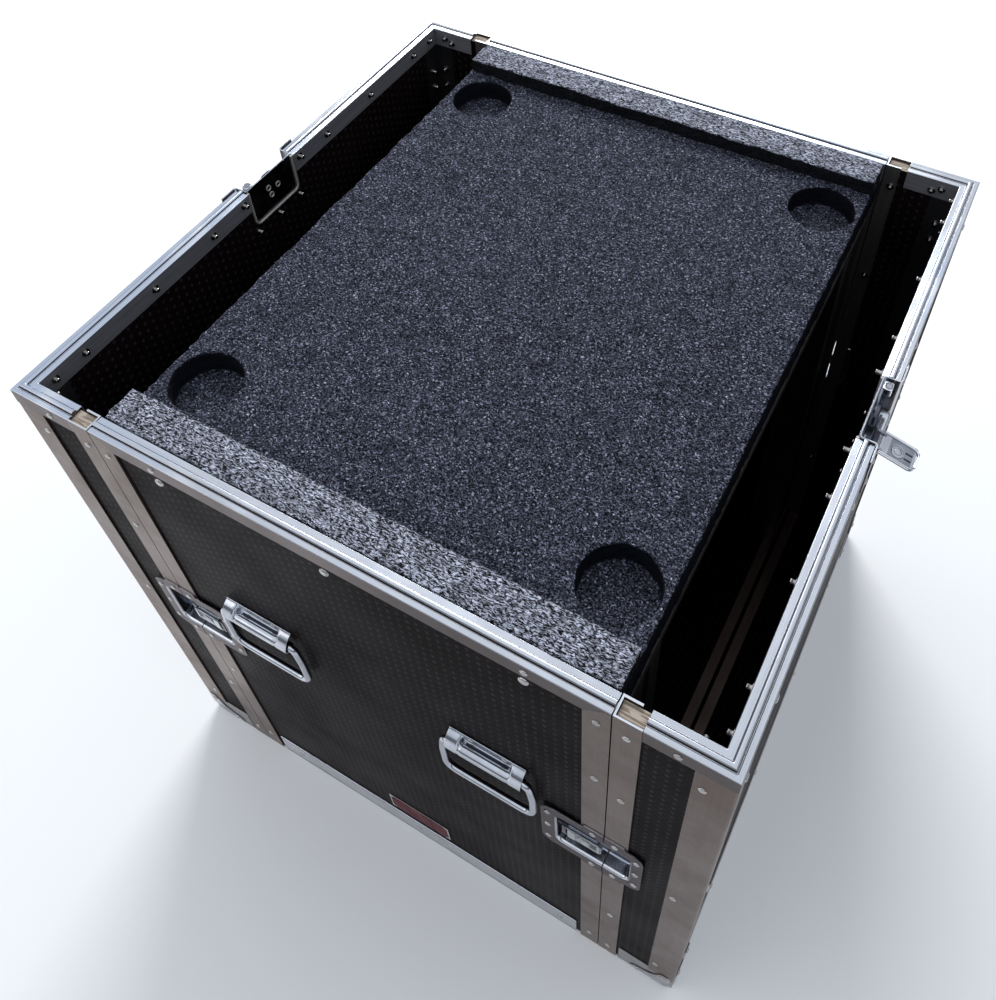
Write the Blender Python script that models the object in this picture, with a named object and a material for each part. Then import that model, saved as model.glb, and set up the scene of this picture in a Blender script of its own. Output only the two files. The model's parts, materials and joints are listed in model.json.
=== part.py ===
"""Foam-lined flight case: a central body with two lift-off end covers, open at the top.

Frame: origin at the middle of the base, on the surface the case stands on. +X runs along the
long near face towards the right cover, the near face looks along -Y, and +Z is up. Metres.
"""
import math

import bmesh
import bpy
from mathutils import Matrix, Vector

# ---------------------------------------------------------------- driving dimensions
HALF_W = 0.3275          # outer face of the end covers' edging, from the middle
HALF_D = 0.3200          # outer face of the near and far edging, from the middle
TOP = 0.6870             # crown of the rim extrusion
BASE = 0.0012            # underside of the aluminium edging; the steel corners reach z = 0
SEAM = 0.2375            # seam plane between the body and each end cover
GAP = 0.0003             # assembly gap between touching pieces

PLY_OUT = 0.0018         # laminate face, below the outer face of the edging
PLY_IN = 0.0144          # inner face of the plywood, below the same face
RIM_IN = 0.0165          # inner face of the rim and seam extrusions
STRIP_W = 0.0220         # visible width of a seam strip
RIM_DROP = 0.0200        # outer flange of the rim
RIM_DROP_IN = 0.0250     # inner flange of the rim
ANGLE_W = 0.0300         # leg of the edge angles
ANGLE_T = 0.0015
SKIRT_H = 0.0435         # height of the ribbed bottom edging
NOTCH = STRIP_W + GAP    # the covers' rim stops this far from the seam
PLY_TOP = TOP - 0.0058

FOAM_TOP = 0.6686        # face of the foam bed
FOAM_T = 0.0350
STRIP_TOP = 0.6846       # top of the two raised foam strips
FOAM_STRIP_W = 0.0340
RECESS_R = 0.0325
RECESS_DEPTH = 0.0250
RECESS_X = 0.1980
RECESS_Y = 0.2280
SHELF_T = 0.0120

RACK_HALF = 0.2250       # half of the clear opening between the equipment rails
RAIL_W = 0.0200
RAIL_LEG = 0.0300

LATCH_Z = 0.3640         # middle height of the latches on the seams
LATCH_H = 0.0485         # half height of a latch flange
LATCH_BODY = 0.0615      # latch flange, body half, from the seam
LATCH_STRIKE = 0.0375    # latch flange, strike half, from the seam
POCKET_H = 0.0350        # half height of the latch pocket
POCKET_BODY = 0.0470
POCKET_STRIKE = 0.0260
POCKET_D = 0.0145
LATCH_T = 0.0012
SPINDLE_U = 0.0220       # spindle axis from the seam
WING_PIN_U = 0.0398      # wing's cross pin from the seam
WING_PIN_N = -0.0021     # and below the face
WING_OPEN = 106.0        # degrees from folded flat to standing open

HANDLE_X = (-0.1220, 0.1260)
HANDLE_TOP = 0.4686
HANDLE_W = 0.0755
BAIL_AXIS_Z = 0.4515
BAIL_AXIS_N = 0.0070     # bail axis, out from the laminate
BAIL_DROP = 0.0695
BAIL_W = 0.0980
ROD_R = 0.0035

CORNER_L = 0.0540        # reach of a steel corner along each edge
CORNER_R = 0.0100
CORNER_T = 0.0009

# ---------------------------------------------------------------- clean start
for _o in list(bpy.data.objects):
    bpy.data.objects.remove(_o, do_unlink=True)


# ---------------------------------------------------------------- materials
def material(name, colour, rough, metal):
    m = bpy.data.materials.new(name)
    m.use_nodes = True
    b = m.node_tree.nodes["Principled BSDF"]
    b.inputs["Base Color"].default_value = (*colour, 1.0)
    b.inputs["Roughness"].default_value = rough
    b.inputs["Metallic"].default_value = metal
    m.diffuse_color = (*colour, 1.0)
    return m


FINISH = {
    "laminate": ((0.020, 0.019, 0.020), 0.45, 0.0),
    "wood": ((0.42, 0.32, 0.21), 0.75, 0.0),
    "aluminium": ((0.62, 0.61, 0.60), 0.38, 1.0),
    "rim": ((0.74, 0.76, 0.79), 0.28, 1.0),
    "chrome": ((0.80, 0.81, 0.83), 0.10, 1.0),
    "zinc": ((0.60, 0.62, 0.65), 0.25, 1.0),
    "dark_zinc": ((0.10, 0.10, 0.11), 0.45, 1.0),
    "steel": ((0.50, 0.50, 0.51), 0.35, 1.0),
    "foam": ((0.030, 0.031, 0.035), 0.95, 0.0),
    "label": ((0.33, 0.03, 0.05), 0.40, 0.0),
    "rail": ((0.30, 0.30, 0.31), 0.40, 1.0),
}


# ---------------------------------------------------------------- mesh helpers
def mesh_object(name, verts, faces, finish):
    bm = bmesh.new()
    vs = [bm.verts.new(v) for v in verts]
    for f in faces:
        bm.faces.new([vs[i] for i in f])
    bmesh.ops.recalc_face_normals(bm, faces=bm.faces)
    me = bpy.data.meshes.new(name)
    bm.to_mesh(me)
    bm.free()
    ob = bpy.data.objects.new(name, me)
    bpy.context.scene.collection.objects.link(ob)
    if finish:
        me.materials.append(material(name + "_finish", *FINISH[finish]))
    return ob


def box(name, lo, hi, finish=None):
    x0, y0, z0 = lo
    x1, y1, z1 = hi
    v = [(x, y, z) for x in (x0, x1) for y in (y0, y1) for z in (z0, z1)]
    f = [(0, 1, 3, 2), (4, 6, 7, 5), (0, 4, 5, 1), (2, 3, 7, 6), (0, 2, 6, 4), (1, 5, 7, 3)]
    return mesh_object(name, v, f, finish)


def extrude(name, outline, place, lo, hi, finish=None):
    """A prism: the outline's points (a, b) at depths lo and hi, placed by place(a, b, c)."""
    n = len(outline)
    v = [place(a, b, lo) for a, b in outline] + [place(a, b, hi) for a, b in outline]
    f = [tuple(range(n)), tuple(range(2 * n - 1, n - 1, -1))]
    f += [(i, (i + 1) % n, n + (i + 1) % n, n + i) for i in range(n)]
    return mesh_object(name, v, f, finish)


def disc(r, n=24, cx=0.0, cy=0.0, start=0.0):
    return [(cx + r * math.cos(start + 2 * math.pi * i / n), cy + r * math.sin(start + 2 * math.pi * i / n))
            for i in range(n)]


def round_rect(x0, y0, x1, y1, r, seg=4, corners=(1, 1, 1, 1)):
    """Rectangle outline; corners (x0y0, x1y0, x1y1, x0y1) are rounded where the flag is 1."""
    pts = []
    data = [((x0, y0), (1, 1), 180), ((x1, y0), (-1, 1), 270), ((x1, y1), (-1, -1), 0), ((x0, y1), (1, -1), 90)]
    for (c, s, a0), flag in zip(data, corners):
        if not flag:
            pts.append(c)
            continue
        cx, cy = c[0] + s[0] * r, c[1] + s[1] * r
        for k in range(seg + 1):
            a = math.radians(a0 + 90 * k / seg)
            pts.append((cx + r * math.cos(a), cy + r * math.sin(a)))
    return pts


def sweep(name, path, profile, across, outward, finish=None):
    """Run a profile along a flat path with mitred corners.

    Each profile point is (a, b): a along the outward normal of the path's segment, b along the
    constant direction `across`. `outward` is the sign that turns direction x across outwards.
    """
    path = [Vector(p) for p in path]
    across = Vector(across)
    dirs = [(path[i + 1] - path[i]).normalized() for i in range(len(path) - 1)]
    nors = [(d.cross(across) * outward).normalized() for d in dirs]
    rings = []
    for i, p in enumerate(path):
        if i == 0:
            m = nors[0]
        elif i == len(path) - 1:
            m = nors[-1]
        else:
            m = (nors[i - 1] + nors[i]) / (1.0 + nors[i - 1].dot(nors[i]))
        rings.append([p + m * a + across * b for a, b in profile])
    n = len(profile)
    verts = [v for r in rings for v in r]
    faces = [tuple(range(n)), tuple(range(len(verts) - 1, len(verts) - n - 1, -1))]
    for k in range(len(rings) - 1):
        for i in range(n):
            j = (i + 1) % n
            faces.append((k * n + i, k * n + j, (k + 1) * n + j, (k + 1) * n + i))
    return mesh_object(name, verts, faces, finish)


def combine(ob, others, operation):
    """Boolean with each of the others in turn; the others are used up."""
    for other in others:
        m = ob.modifiers.new("b", "BOOLEAN")
        m.operation = operation
        m.solver = "EXACT"
        m.object = other
        dg = bpy.context.evaluated_depsgraph_get()
        dg.update()
        me = bpy.data.meshes.new_from_object(ob.evaluated_get(dg))
        ob.modifiers.remove(m)
        old = ob.data
        mats = [s for s in old.materials]
        ob.data = me
        me.name = ob.name
        me.materials.clear()
        for s in mats:
            me.materials.append(s)
        for p in me.polygons:
            p.material_index = 0
        bpy.data.meshes.remove(old)
        bpy.data.objects.remove(other, do_unlink=True)
    return ob


def cut(ob, *others):
    return combine(ob, others, "DIFFERENCE")


def join(ob, *others):
    return combine(ob, others, "UNION")


def smooth(ob, angle=35.0):
    ob.data.shade_smooth()
    ob.data.set_sharp_from_angle(angle=math.radians(angle))
    return ob


def rounded_box(name, lo, hi, r, seg=3):
    bm = bmesh.new()
    bmesh.ops.create_cube(bm, size=1.0)
    for v in bm.verts:
        v.co = Vector([lo[k] + (v.co[k] + 0.5) * (hi[k] - lo[k]) for k in range(3)])
    bmesh.ops.bevel(bm, geom=list(bm.edges) + list(bm.verts), offset=r, segments=seg, profile=0.5,
                    affect="EDGES")
    me = bpy.data.meshes.new(name)
    bmesh.ops.recalc_face_normals(bm, faces=bm.faces)
    bm.to_mesh(me)
    bm.free()
    ob = bpy.data.objects.new(name, me)
    bpy.context.scene.collection.objects.link(ob)
    return ob


# ---------------------------------------------------------------- extrusion sections
# Rim: outer flange, shoulder, groove, rounded tongue, inner shoulder, inner flange. b is the
# height above the crown.
RIM = [(0, -RIM_DROP), (0, -0.0034), (-0.0006, -0.0028), (-0.0044, -0.0028), (-0.0047, -0.0038),
       (-0.0054, -0.0038), (-0.0058, -0.0012), (-0.0066, -0.0003), (-0.0080, 0.0), (-0.0094, -0.0003),
       (-0.0103, -0.0012), (-0.0107, -0.0026), (-0.0159, -0.0028), (-0.0165, -0.0034),
       (-0.0165, -RIM_DROP_IN), (-0.0147, -RIM_DROP_IN), (-0.0147, -0.0055), (-0.0015, -0.0055),
       (-0.0015, -RIM_DROP)]
# Seam, body half (grooved) and cover half (tongued). b is the distance from the seam plane.
SEAM_BODY = [(0, 0.0005), (0, STRIP_W), (-0.0015, STRIP_W), (-0.0015, 0.0020), (-0.0040, 0.0020),
             (-0.0040, 0.0060), (-0.0125, 0.0060), (-0.0125, 0.0020), (-0.0147, 0.0020), (-0.0147, 0.0155),
             (-0.0165, 0.0155), (-0.0165, 0.0005), (-0.0110, 0.0005), (-0.0110, 0.0045), (-0.0055, 0.0045),
             (-0.0055, 0.0005)]
SEAM_COVER = [(0, 0.0005), (0, STRIP_W), (-0.0015, STRIP_W), (-0.0015, 0.0020), (-0.0147, 0.0020),
              (-0.0147, 0.0155), (-0.0165, 0.0155), (-0.0165, 0.0005), (-0.0105, 0.0005), (-0.0105, -0.0030),
              (-0.0060, -0.0030), (-0.0060, 0.0005)]
BODY_PLY_END = SEAM - 0.0063
COVER_PLY_END = SEAM + 0.0023


# ---------------------------------------------------------------- latch placing
class Spot:
    """A latch's own axes: u from the seam into the body half, v along the seam, n outwards."""

    def __init__(self, origin, u, n):
        self.o = Vector(origin)
        self.u = Vector(u)
        self.n = Vector(n)
        self.v = self.n.cross(self.u)

    def at(self, u, v, n):
        return self.o + self.u * u + self.v * v + self.n * n

    def box(self, name, lo, hi, finish=None):
        return extrude(name, [(lo[0], lo[1]), (hi[0], lo[1]), (hi[0], hi[1]), (lo[0], hi[1])],
                       self.at, lo[2], hi[2], finish)

    def flat(self, name, outline, lo, hi, finish=None):
        return extrude(name, outline, self.at, lo, hi, finish)


SPOTS = {}
for face, ny in (("near", -1), ("far", 1)):
    for side, sx in (("left", -1), ("right", 1)):
        SPOTS[face + "_" + side] = Spot((sx * SEAM, ny * HALF_D, LATCH_Z), (-sx, 0, 0), (0, ny, 0))
for side, sx in (("left", -1), ("right", 1)):
    SPOTS["lid_" + side] = Spot((sx * HALF_W, 0, TOP), (0, 0, -1), (sx, 0, 0))


def pocket_cut(spot, name, strike, deep=0.03):
    """The hole that a latch pocket needs through the wall, or, shallower, in a seam extrusion."""
    if strike:
        return spot.box(name, (-POCKET_STRIKE - GAP, -POCKET_H - GAP, -deep), (0.01, POCKET_H + GAP, 0.004))
    return spot.box(name, (-0.01, -POCKET_H - GAP, -deep), (POCKET_BODY + GAP, POCKET_H + GAP, 0.004))


def dish(spot, name, strike, lid=False):
    """Pressed steel half of a latch: a flange with a pocket that is open at the seam."""
    s = -1 if strike else 1
    reach = LATCH_STRIKE if strike else LATCH_BODY
    deep = POCKET_STRIKE if strike else POCKET_BODY
    e = 0.0005
    lo, hi = (min(s * e, s * reach), max(s * e, s * reach))
    corners = (1, 0, 0, 1) if strike else (0, 1, 1, 0)
    flange = spot.flat(name, round_rect(lo, -LATCH_H, hi, LATCH_H, 0.013, 4, corners), GAP, GAP + LATCH_T, "zinc")
    tab = (min(s * e, s * 0.0205), -0.054, GAP), (max(s * e, s * 0.0205), 0.054, GAP + LATCH_T)
    parts = [spot.box("t", *tab)]
    # the flange steps down onto the laminate beyond the strip
    step = STRIP_W + GAP
    a, b = sorted((s * step, s * (reach - 0.0004)))
    parts.append(spot.flat("s", round_rect(a, -LATCH_H + 0.0004, b, LATCH_H - 0.0004, 0.0126, 4, corners),
                           -PLY_OUT + GAP, GAP + 0.0005))
    a, b = sorted((s * e, s * deep))
    parts.append(spot.flat("p", round_rect(a, -POCKET_H, b, POCKET_H, 0.008, 3, corners), -POCKET_D, GAP + 0.0005))
    flange = join(flange, *parts)
    a, b = sorted((s * -0.01, s * (deep - LATCH_T)))
    return cut(flange, spot.flat("h", round_rect(a, -POCKET_H + LATCH_T, b, POCKET_H - LATCH_T, 0.007, 3, corners),
                                 -POCKET_D + LATCH_T, 0.01))


def spindle(spot, name, hook):
    """Cam drum with its hook arm and the bracket that carries the wing."""
    c = SPINDLE_U
    ob = spot.flat(name, disc(0.0110, 20, c, 0.0), -0.0128, -0.0066, "dark_zinc")
    arm = round_rect(hook, -0.0080, c, 0.0080, 0.004, 2, (1, 0, 0, 1))
    neck = spot.flat("n", disc(0.0050, 12, c, 0.0), -0.0070, -0.0044)
    bar = spot.box("b", (c - 0.0060, -0.0070, -0.0062), (WING_PIN_U + 0.0018, 0.0070, -0.0042))
    ear = spot.box("e", (WING_PIN_U - 0.0020, -0.0070, -0.0055), (WING_PIN_U + 0.0018, 0.0070, -0.0005))
    return join(ob, spot.flat("a", arm, -0.0105, -0.0080), neck, bar, ear)


def wing(spot, name, angle=0.0):
    """Folding key plate: a shallow tray on two knuckles beside the bracket's ear."""
    u0, u1, w = SPINDLE_U - 0.0195, WING_PIN_U - 0.0036, 0.0115
    ob = spot.flat(name, round_rect(u0, -w, u1, w, 0.003, 3, (1, 0, 0, 1)), -0.0018, -0.0006, "zinc")
    rims = [spot.box("r", (u0 + 0.0025, min(s * (w - 0.0002), s * (w - 0.0014)), -0.0040),
                     (u1 - 0.0002, max(s * (w - 0.0002), s * (w - 0.0014)), -0.0010)) for s in (-1, 1)]
    end = spot.box("f", (u0 + 0.0002, -w + 0.0032, -0.0040), (u0 + 0.0014, w - 0.0032, -0.0010))
    knuckles = [spot.box("k", (u1 - 0.0030, min(s * 0.0074, s * 0.0095), -0.0037),
                         (WING_PIN_U + 0.0018, max(s * 0.0074, s * 0.0095), -0.0008)) for s in (-1, 1)]
    boss = spot.flat("o", disc(0.0045, 16, SPINDLE_U, 0.0), -0.0012, 0.0002)
    ob = join(ob, *rims, end, *knuckles, boss)
    # folded, the wing points from its pin towards the seam; it opens outwards about the pin
    pin = spot.at(WING_PIN_U, 0.0, WING_PIN_N)
    turn = Matrix.Translation(pin) @ Matrix.Rotation(math.radians(angle), 4, spot.v) @ Matrix.Translation(-pin)
    ob.data.transform(turn)
    return ob


# ---------------------------------------------------------------- body panels
WIDE = BODY_PLY_END
for face, s in (("near", -1), ("far", 1)):
    y0, y1 = sorted((s * (HALF_D - PLY_OUT), s * (HALF_D - PLY_IN)))
    ob = box(face + "_side_panel", (-WIDE, y0, BASE + PLY_OUT), (WIDE, y1, PLY_TOP), "laminate")
    cut(ob, pocket_cut(SPOTS[face + "_left"], "c", False), pocket_cut(SPOTS[face + "_right"], "c", False))
IN_Y = HALF_D - PLY_IN - GAP
box("floor_panel", (-WIDE, -IN_Y, BASE + PLY_OUT), (WIDE, IN_Y, BASE + PLY_IN), "laminate")

# rim of the body: straight lengths whose outer flange is mitred to the seam strips
for face, s in (("near", -1), ("far", 1)):
    ob = sweep(face + "_rim_extrusion", [(-SEAM + 0.0005, s * HALF_D, TOP), (SEAM - 0.0005, s * HALF_D, TOP)],
               RIM, (0, 0, 1), -s, "rim")
    for e in (-1, 1):
        tri = [(e * (SEAM - STRIP_W - 0.0012), TOP - 0.0214), (e * (SEAM + 0.002), TOP - 0.0214),
               (e * (SEAM + 0.002), TOP - 0.0056), (e * (SEAM - 0.0062), TOP - 0.0056)]
        cut(ob, extrude("c", tri, lambda a, b, c: Vector((a, c, b)), s * (HALF_D - 0.00165), s * (HALF_D + 0.002)))


def u_path(x, top):
    return [(x, -HALF_D, top), (x, -HALF_D, BASE), (x, HALF_D, BASE), (x, HALF_D, top)]


for side, sx in (("left", -1), ("right", 1)):
    ob = sweep(side + "_body_seam_frame", u_path(sx * SEAM, TOP - 0.0061), SEAM_BODY, (-sx, 0, 0), -sx, "aluminium")
    for s in (-1, 1):
        # mitre below the rim's flange
        m = [(0.0217, -0.0203), (0.0400, -0.0203), (0.0400, 0.0100), (0.0057, 0.0100), (0.0057, -0.0058)]
        cut(ob, extrude("c", [(sx * (SEAM - b), TOP + z) for b, z in m], lambda a, b, c: Vector((a, c, b)),
                        s * (HALF_D - 0.00165), s * (HALF_D + 0.002)))
        # room for the rim's inner flange
        y0, y1 = sorted((s * (HALF_D - PLY_IN), s * (HALF_D - 0.0200)))
        x0, x1 = sorted((sx * (SEAM - 0.03), sx * (SEAM + 0.01)))
        cut(ob, box("c", (x0, y0, TOP - RIM_DROP_IN - GAP), (x1, y1, TOP + 0.01)))
    # notched for the latches; the inner flange runs on behind them
    cut(ob, pocket_cut(SPOTS["near_" + side], "c", False, 0.01472),
        pocket_cut(SPOTS["far_" + side], "c", False, 0.01472))

# ribbed bottom edging of the body
ANGLE = [(0, 0), (0, SKIRT_H), (-ANGLE_T, SKIRT_H), (-ANGLE_T, ANGLE_T), (-ANGLE_W, ANGLE_T), (-ANGLE_W, 0)]
for face, s in (("near", -1), ("far", 1)):
    sweep(face + "_bottom_angle", [(-0.2090, s * HALF_D, BASE), (0.2098, s * HALF_D, BASE)], ANGLE, (0, 0, 1), -s,
          "rim")

# ---------------------------------------------------------------- inner carcass, rails and foam
SHELF_TOP = FOAM_TOP - FOAM_T - GAP
WALL_Y = HALF_D - RIM_IN - GAP
CARC_X = SEAM - 0.0052
carcass = box("foam_tray_carcass", (-SEAM + 0.0010, -WALL_Y, SHELF_TOP - SHELF_T), (SEAM - 0.0010, WALL_Y, SHELF_TOP),
              "wood")
for sx in (-1, 1):
    for s in (-1, 1):
        x0, x1 = sorted((sx * CARC_X, sx * (CARC_X - 0.0380)))
        y0, y1 = sorted((s * WALL_Y, s * (RACK_HALF + RAIL_W + 0.0022)))
        join(carcass, box("u", (x0, y0, BASE + RIM_IN + GAP), (x1, y1, SHELF_TOP - SHELF_T + 0.002)))

for side, sx in (("left", -1), ("right", 1)):
    for face, s in (("near", -1), ("far", 1)):
        x = sx * (SEAM - 0.0030)
        yi, yo = s * RACK_HALF, s * (RACK_HALF + RAIL_W)
        pts = [(x, yi), (x, yo), (x - sx * RAIL_LEG, yo), (x - sx * RAIL_LEG, yo - s * 0.0018),
               (x - sx * 0.0020, yo - s * 0.0018), (x - sx * 0.0020, yi)]
        extrude(face + "_" + side + "_rack_rail", pts, lambda a, b, c: Vector((a, b, c)), BASE + RIM_IN + 0.0010,
                SHELF_TOP - SHELF_T - GAP, "rail")

# one glued foam liner: the bed with its four recesses, and the raised strip along each side
foam = box("foam_liner", (-0.2375, -WALL_Y, FOAM_TOP - FOAM_T), (0.2360, WALL_Y, FOAM_TOP), "foam")
for s in (-1, 1):
    y0, y1 = sorted((s * WALL_Y, s * (WALL_Y - FOAM_STRIP_W)))
    join(foam, box("s", (-0.2365, y0, FOAM_TOP - 0.0060), (0.2360, y1, STRIP_TOP)))
for sx in (-1, 1):
    for s in (-1, 1):
        cut(foam, extrude("c", disc(RECESS_R, 28, sx * RECESS_X, s * RECESS_Y), lambda a, b, c: Vector((a, b, c)),
                          FOAM_TOP - RECESS_DEPTH, FOAM_TOP + 0.01))

box("label_plate", (-0.0355, -HALF_D + 0.0005, 0.0580), (0.0455, -HALF_D + 0.0015, 0.0966), "label")

# ---------------------------------------------------------------- carrying handles
def handle_plate(name, x, s):
    """Pressed plate: a riveted flange above a rolled sleeve that holds the bail's ends."""
    y_face = s * (HALF_D - PLY_OUT + GAP)
    t, r = 0.0014, 0.0063
    cz, cn = BAIL_AXIS_Z, BAIL_AXIS_N
    outer = [(0.0, HANDLE_TOP), (t, HANDLE_TOP), (t, HANDLE_TOP - 0.0080), (t + 0.0010, HANDLE_TOP - 0.0095)]
    outer += [(cn + r * math.cos(math.radians(a)), cz + r * math.sin(math.radians(a)))
              for a in (112, 90, 65, 40, 15, -10, -35, -60, -90)]
    outer += [(0.0010, cz - r), (0.0, cz - r)]
    ri = r - t
    hole = disc(ri, 16, cn, cz)
    ob = extrude(name, outer, lambda a, b, c: Vector((c, y_face + s * a, b)), x - HANDLE_W / 2, x + HANDLE_W / 2,
                 "chrome")
    cut(ob, extrude("c", hole, lambda a, b, c: Vector((c, y_face + s * a, b)), x - 0.05, x + 0.05))
    # the pressed window between the flange and the sleeve's lip
    cut(ob, extrude("c", round_rect(x - 0.0230, cz + 0.0022, x + 0.0230, HANDLE_TOP - 0.0090, 0.0015, 2),
                    lambda a, b, c: Vector((a, y_face + s * c, b)), 0.0035, 0.03))
    return smooth(ob)


def bail(name, x, s):
    y = s * (HALF_D - PLY_OUT + GAP + BAIL_AXIS_N)
    half = BAIL_W / 2 - ROD_R
    neck = HANDLE_W / 2 + 0.0016 + ROD_R
    top, low = BAIL_AXIS_Z, BAIL_AXIS_Z - BAIL_DROP

    def arc(cx, cz, r, a0, a1, n):
        return [(cx + r * math.cos(math.radians(a0 + (a1 - a0) * k / n)),
                 cz + r * math.sin(math.radians(a0 + (a1 - a0) * k / n))) for k in range(n + 1)]

    side = [(neck - 0.0160, top)] + arc(neck - 0.0045, top - 0.0045, 0.0045, 90, 0, 3)
    side += [(half, top - 0.0260)] + arc(half - 0.0110, low + 0.0110, 0.0110, 0, -90, 5)
    pts = side + [(-a, b) for a, b in reversed(side)]
    cu = bpy.data.curves.new(name, "CURVE")
    cu.dimensions = "3D"
    cu.bevel_depth = ROD_R
    cu.bevel_resolution = 2
    cu.use_fill_caps = True
    sp = cu.splines.new("POLY")
    sp.points.add(len(pts) - 1)
    for p, (a, b) in zip(sp.points, pts):
        p.co = (a, 0.0, b - top, 1.0)
    ob = bpy.data.objects.new(name, cu)
    ob.location = (x, y, top)
    bpy.context.scene.collection.objects.link(ob)
    cu.materials.append(material(name + "_finish", *FINISH["chrome"]))
    return ob


for face, s in (("near", -1), ("far", 1)):
    for side, k in (("left", 0), ("right", 1)):
        handle_plate("%s_%s_handle_plate" % (face, side), HANDLE_X[k], s)
        bail("%s_%s_handle_bail" % (face, side), HANDLE_X[k], s)

# ---------------------------------------------------------------- end covers
for side, sx in (("left", -1), ("right", 1)):
    lid = SPOTS["lid_" + side]
    near, far = SPOTS["near_" + side], SPOTS["far_" + side]
    x_out, x_in, x_seam = sx * (HALF_W - PLY_OUT), sx * (HALF_W - PLY_IN), sx * COVER_PLY_END
    a, b = sorted((x_out, x_seam))
    shell = box(side + "_cover_shell", (a, -HALF_D + PLY_OUT, BASE + PLY_OUT), (b, HALF_D - PLY_OUT, PLY_TOP),
                "laminate")
    a, b = sorted((x_in, sx * (SEAM - 0.05)))
    cut(shell, box("c", (a, -HALF_D + PLY_IN, BASE + PLY_IN), (b, HALF_D - PLY_IN, TOP + 0.05)))
    cut(shell, pocket_cut(lid, "c", False), pocket_cut(near, "c", True), pocket_cut(far, "c", True))

    # the rim runs from each seam round its mitred corner to the lid latch
    for s, face in ((-1, "near"), (1, "far")):
        rim = sweep("%s_cover_%s_rim" % (side, face),
                    [(sx * (SEAM + NOTCH), s * HALF_D, TOP), (sx * HALF_W, s * HALF_D, TOP),
                     (sx * HALF_W, s * (POCKET_H + GAP), TOP)], RIM, (0, 0, 1), -s * sx, "rim")

    frame = sweep(side + "_cover_seam_frame", u_path(sx * SEAM, TOP - 0.0028), SEAM_COVER, (sx, 0, 0), sx,
                  "aluminium")
    # the tongue stops under the body's rim
    a, b = sorted((sx * (SEAM + 0.0003), sx * (SEAM - 0.01)))
    cut(frame, box("c", (a, -HALF_D - 0.01, PLY_TOP - GAP), (b, HALF_D + 0.01, TOP + 0.01)),
        pocket_cut(near, "c", True, 0.01472), pocket_cut(far, "c", True, 0.01472))

    # edge angles: two upright corners and the ribbed bottom edging, mitred into one frame
    parts = []
    for s in (-1, 1):
        L = [(0, 0), (ANGLE_W, 0), (ANGLE_W, ANGLE_T), (ANGLE_T, ANGLE_T), (ANGLE_T, ANGLE_W), (0, ANGLE_W)]
        parts.append(extrude(side + "_cover_edge_angles" if s < 0 else "u",
                             [(sx * (HALF_W - p), s * (HALF_D - q)) for p, q in L],
                             lambda p, q, c: Vector((p, q, c)), BASE + 0.0004, TOP - RIM_DROP - GAP,
                             "aluminium" if s < 0 else None))
    edge = parts[0]
    skirt = sweep("k", [(sx * (SEAM + STRIP_W + 0.0030), -HALF_D, BASE), (sx * HALF_W, -HALF_D, BASE),
                        (sx * HALF_W, HALF_D, BASE), (sx * (SEAM + STRIP_W + 0.0030), HALF_D, BASE)],
                  [(-0.0002, 0), (-0.0002, SKIRT_H), (-0.0013, SKIRT_H), (-0.0013, ANGLE_T), (-0.0280, ANGLE_T),
                   (-0.0280, 0)], (0, 0, 1), sx)
    join(edge, parts[1], skirt)

    # rounded steel corners at the foot, and the rounding of what lies under them
    for s, face in ((-1, "near"), (1, "far")):
        def octant(nm, reach, grow):
            p = [sx * (HALF_W + grow), s * (HALF_D + grow), BASE - grow]
            q = [sx * (HALF_W - reach), s * (HALF_D - reach), BASE + reach]
            return box(nm, [min(c, d) for c, d in zip(p, q)], [max(c, d) for c, d in zip(p, q)])

        def ball(nm, grow, r):
            p = [sx * (HALF_W + grow), s * (HALF_D + grow), BASE - grow]
            q = [sx * (HALF_W - 0.09), s * (HALF_D - 0.09), BASE + 0.09]
            return rounded_box(nm, [min(c, d) for c, d in zip(p, q)], [max(c, d) for c, d in zip(p, q)], r)

        for ob in (edge, shell):
            cut(ob, cut(octant("c", CORNER_L + 0.0008, 0.004), ball("c2", 0.0, CORNER_R - 0.0012)))
        corner = ball("%s_%s_steel_corner" % (side, face), CORNER_T + GAP, CORNER_R)
        corner.data.materials.append(material(corner.name + "_finish", *FINISH["steel"]))
        combine(corner, [octant("c", CORNER_L, 0.004)], "INTERSECT")
        cut(corner, ball("c", GAP, CORNER_R - 0.0009))
        smooth(corner)

    dish(near, "near_%s_latch_strike" % side, True)
    dish(far, "far_%s_latch_strike" % side, True)
    dish(lid, side + "_lid_latch_dish", False, lid=True)
    spindle(lid, side + "_lid_latch_spindle", 0.0040)
    wing(lid, side + "_lid_latch_wing", WING_OPEN)

for face in ("near", "far"):
    for side in ("left", "right"):
        spot = SPOTS[face + "_" + side]
        dish(spot, "%s_%s_latch_dish" % (face, side), False)
        spindle(spot, "%s_%s_latch_spindle" % (face, side), -0.0080)
        wing(spot, "%s_%s_latch_wing" % (face, side))
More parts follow.
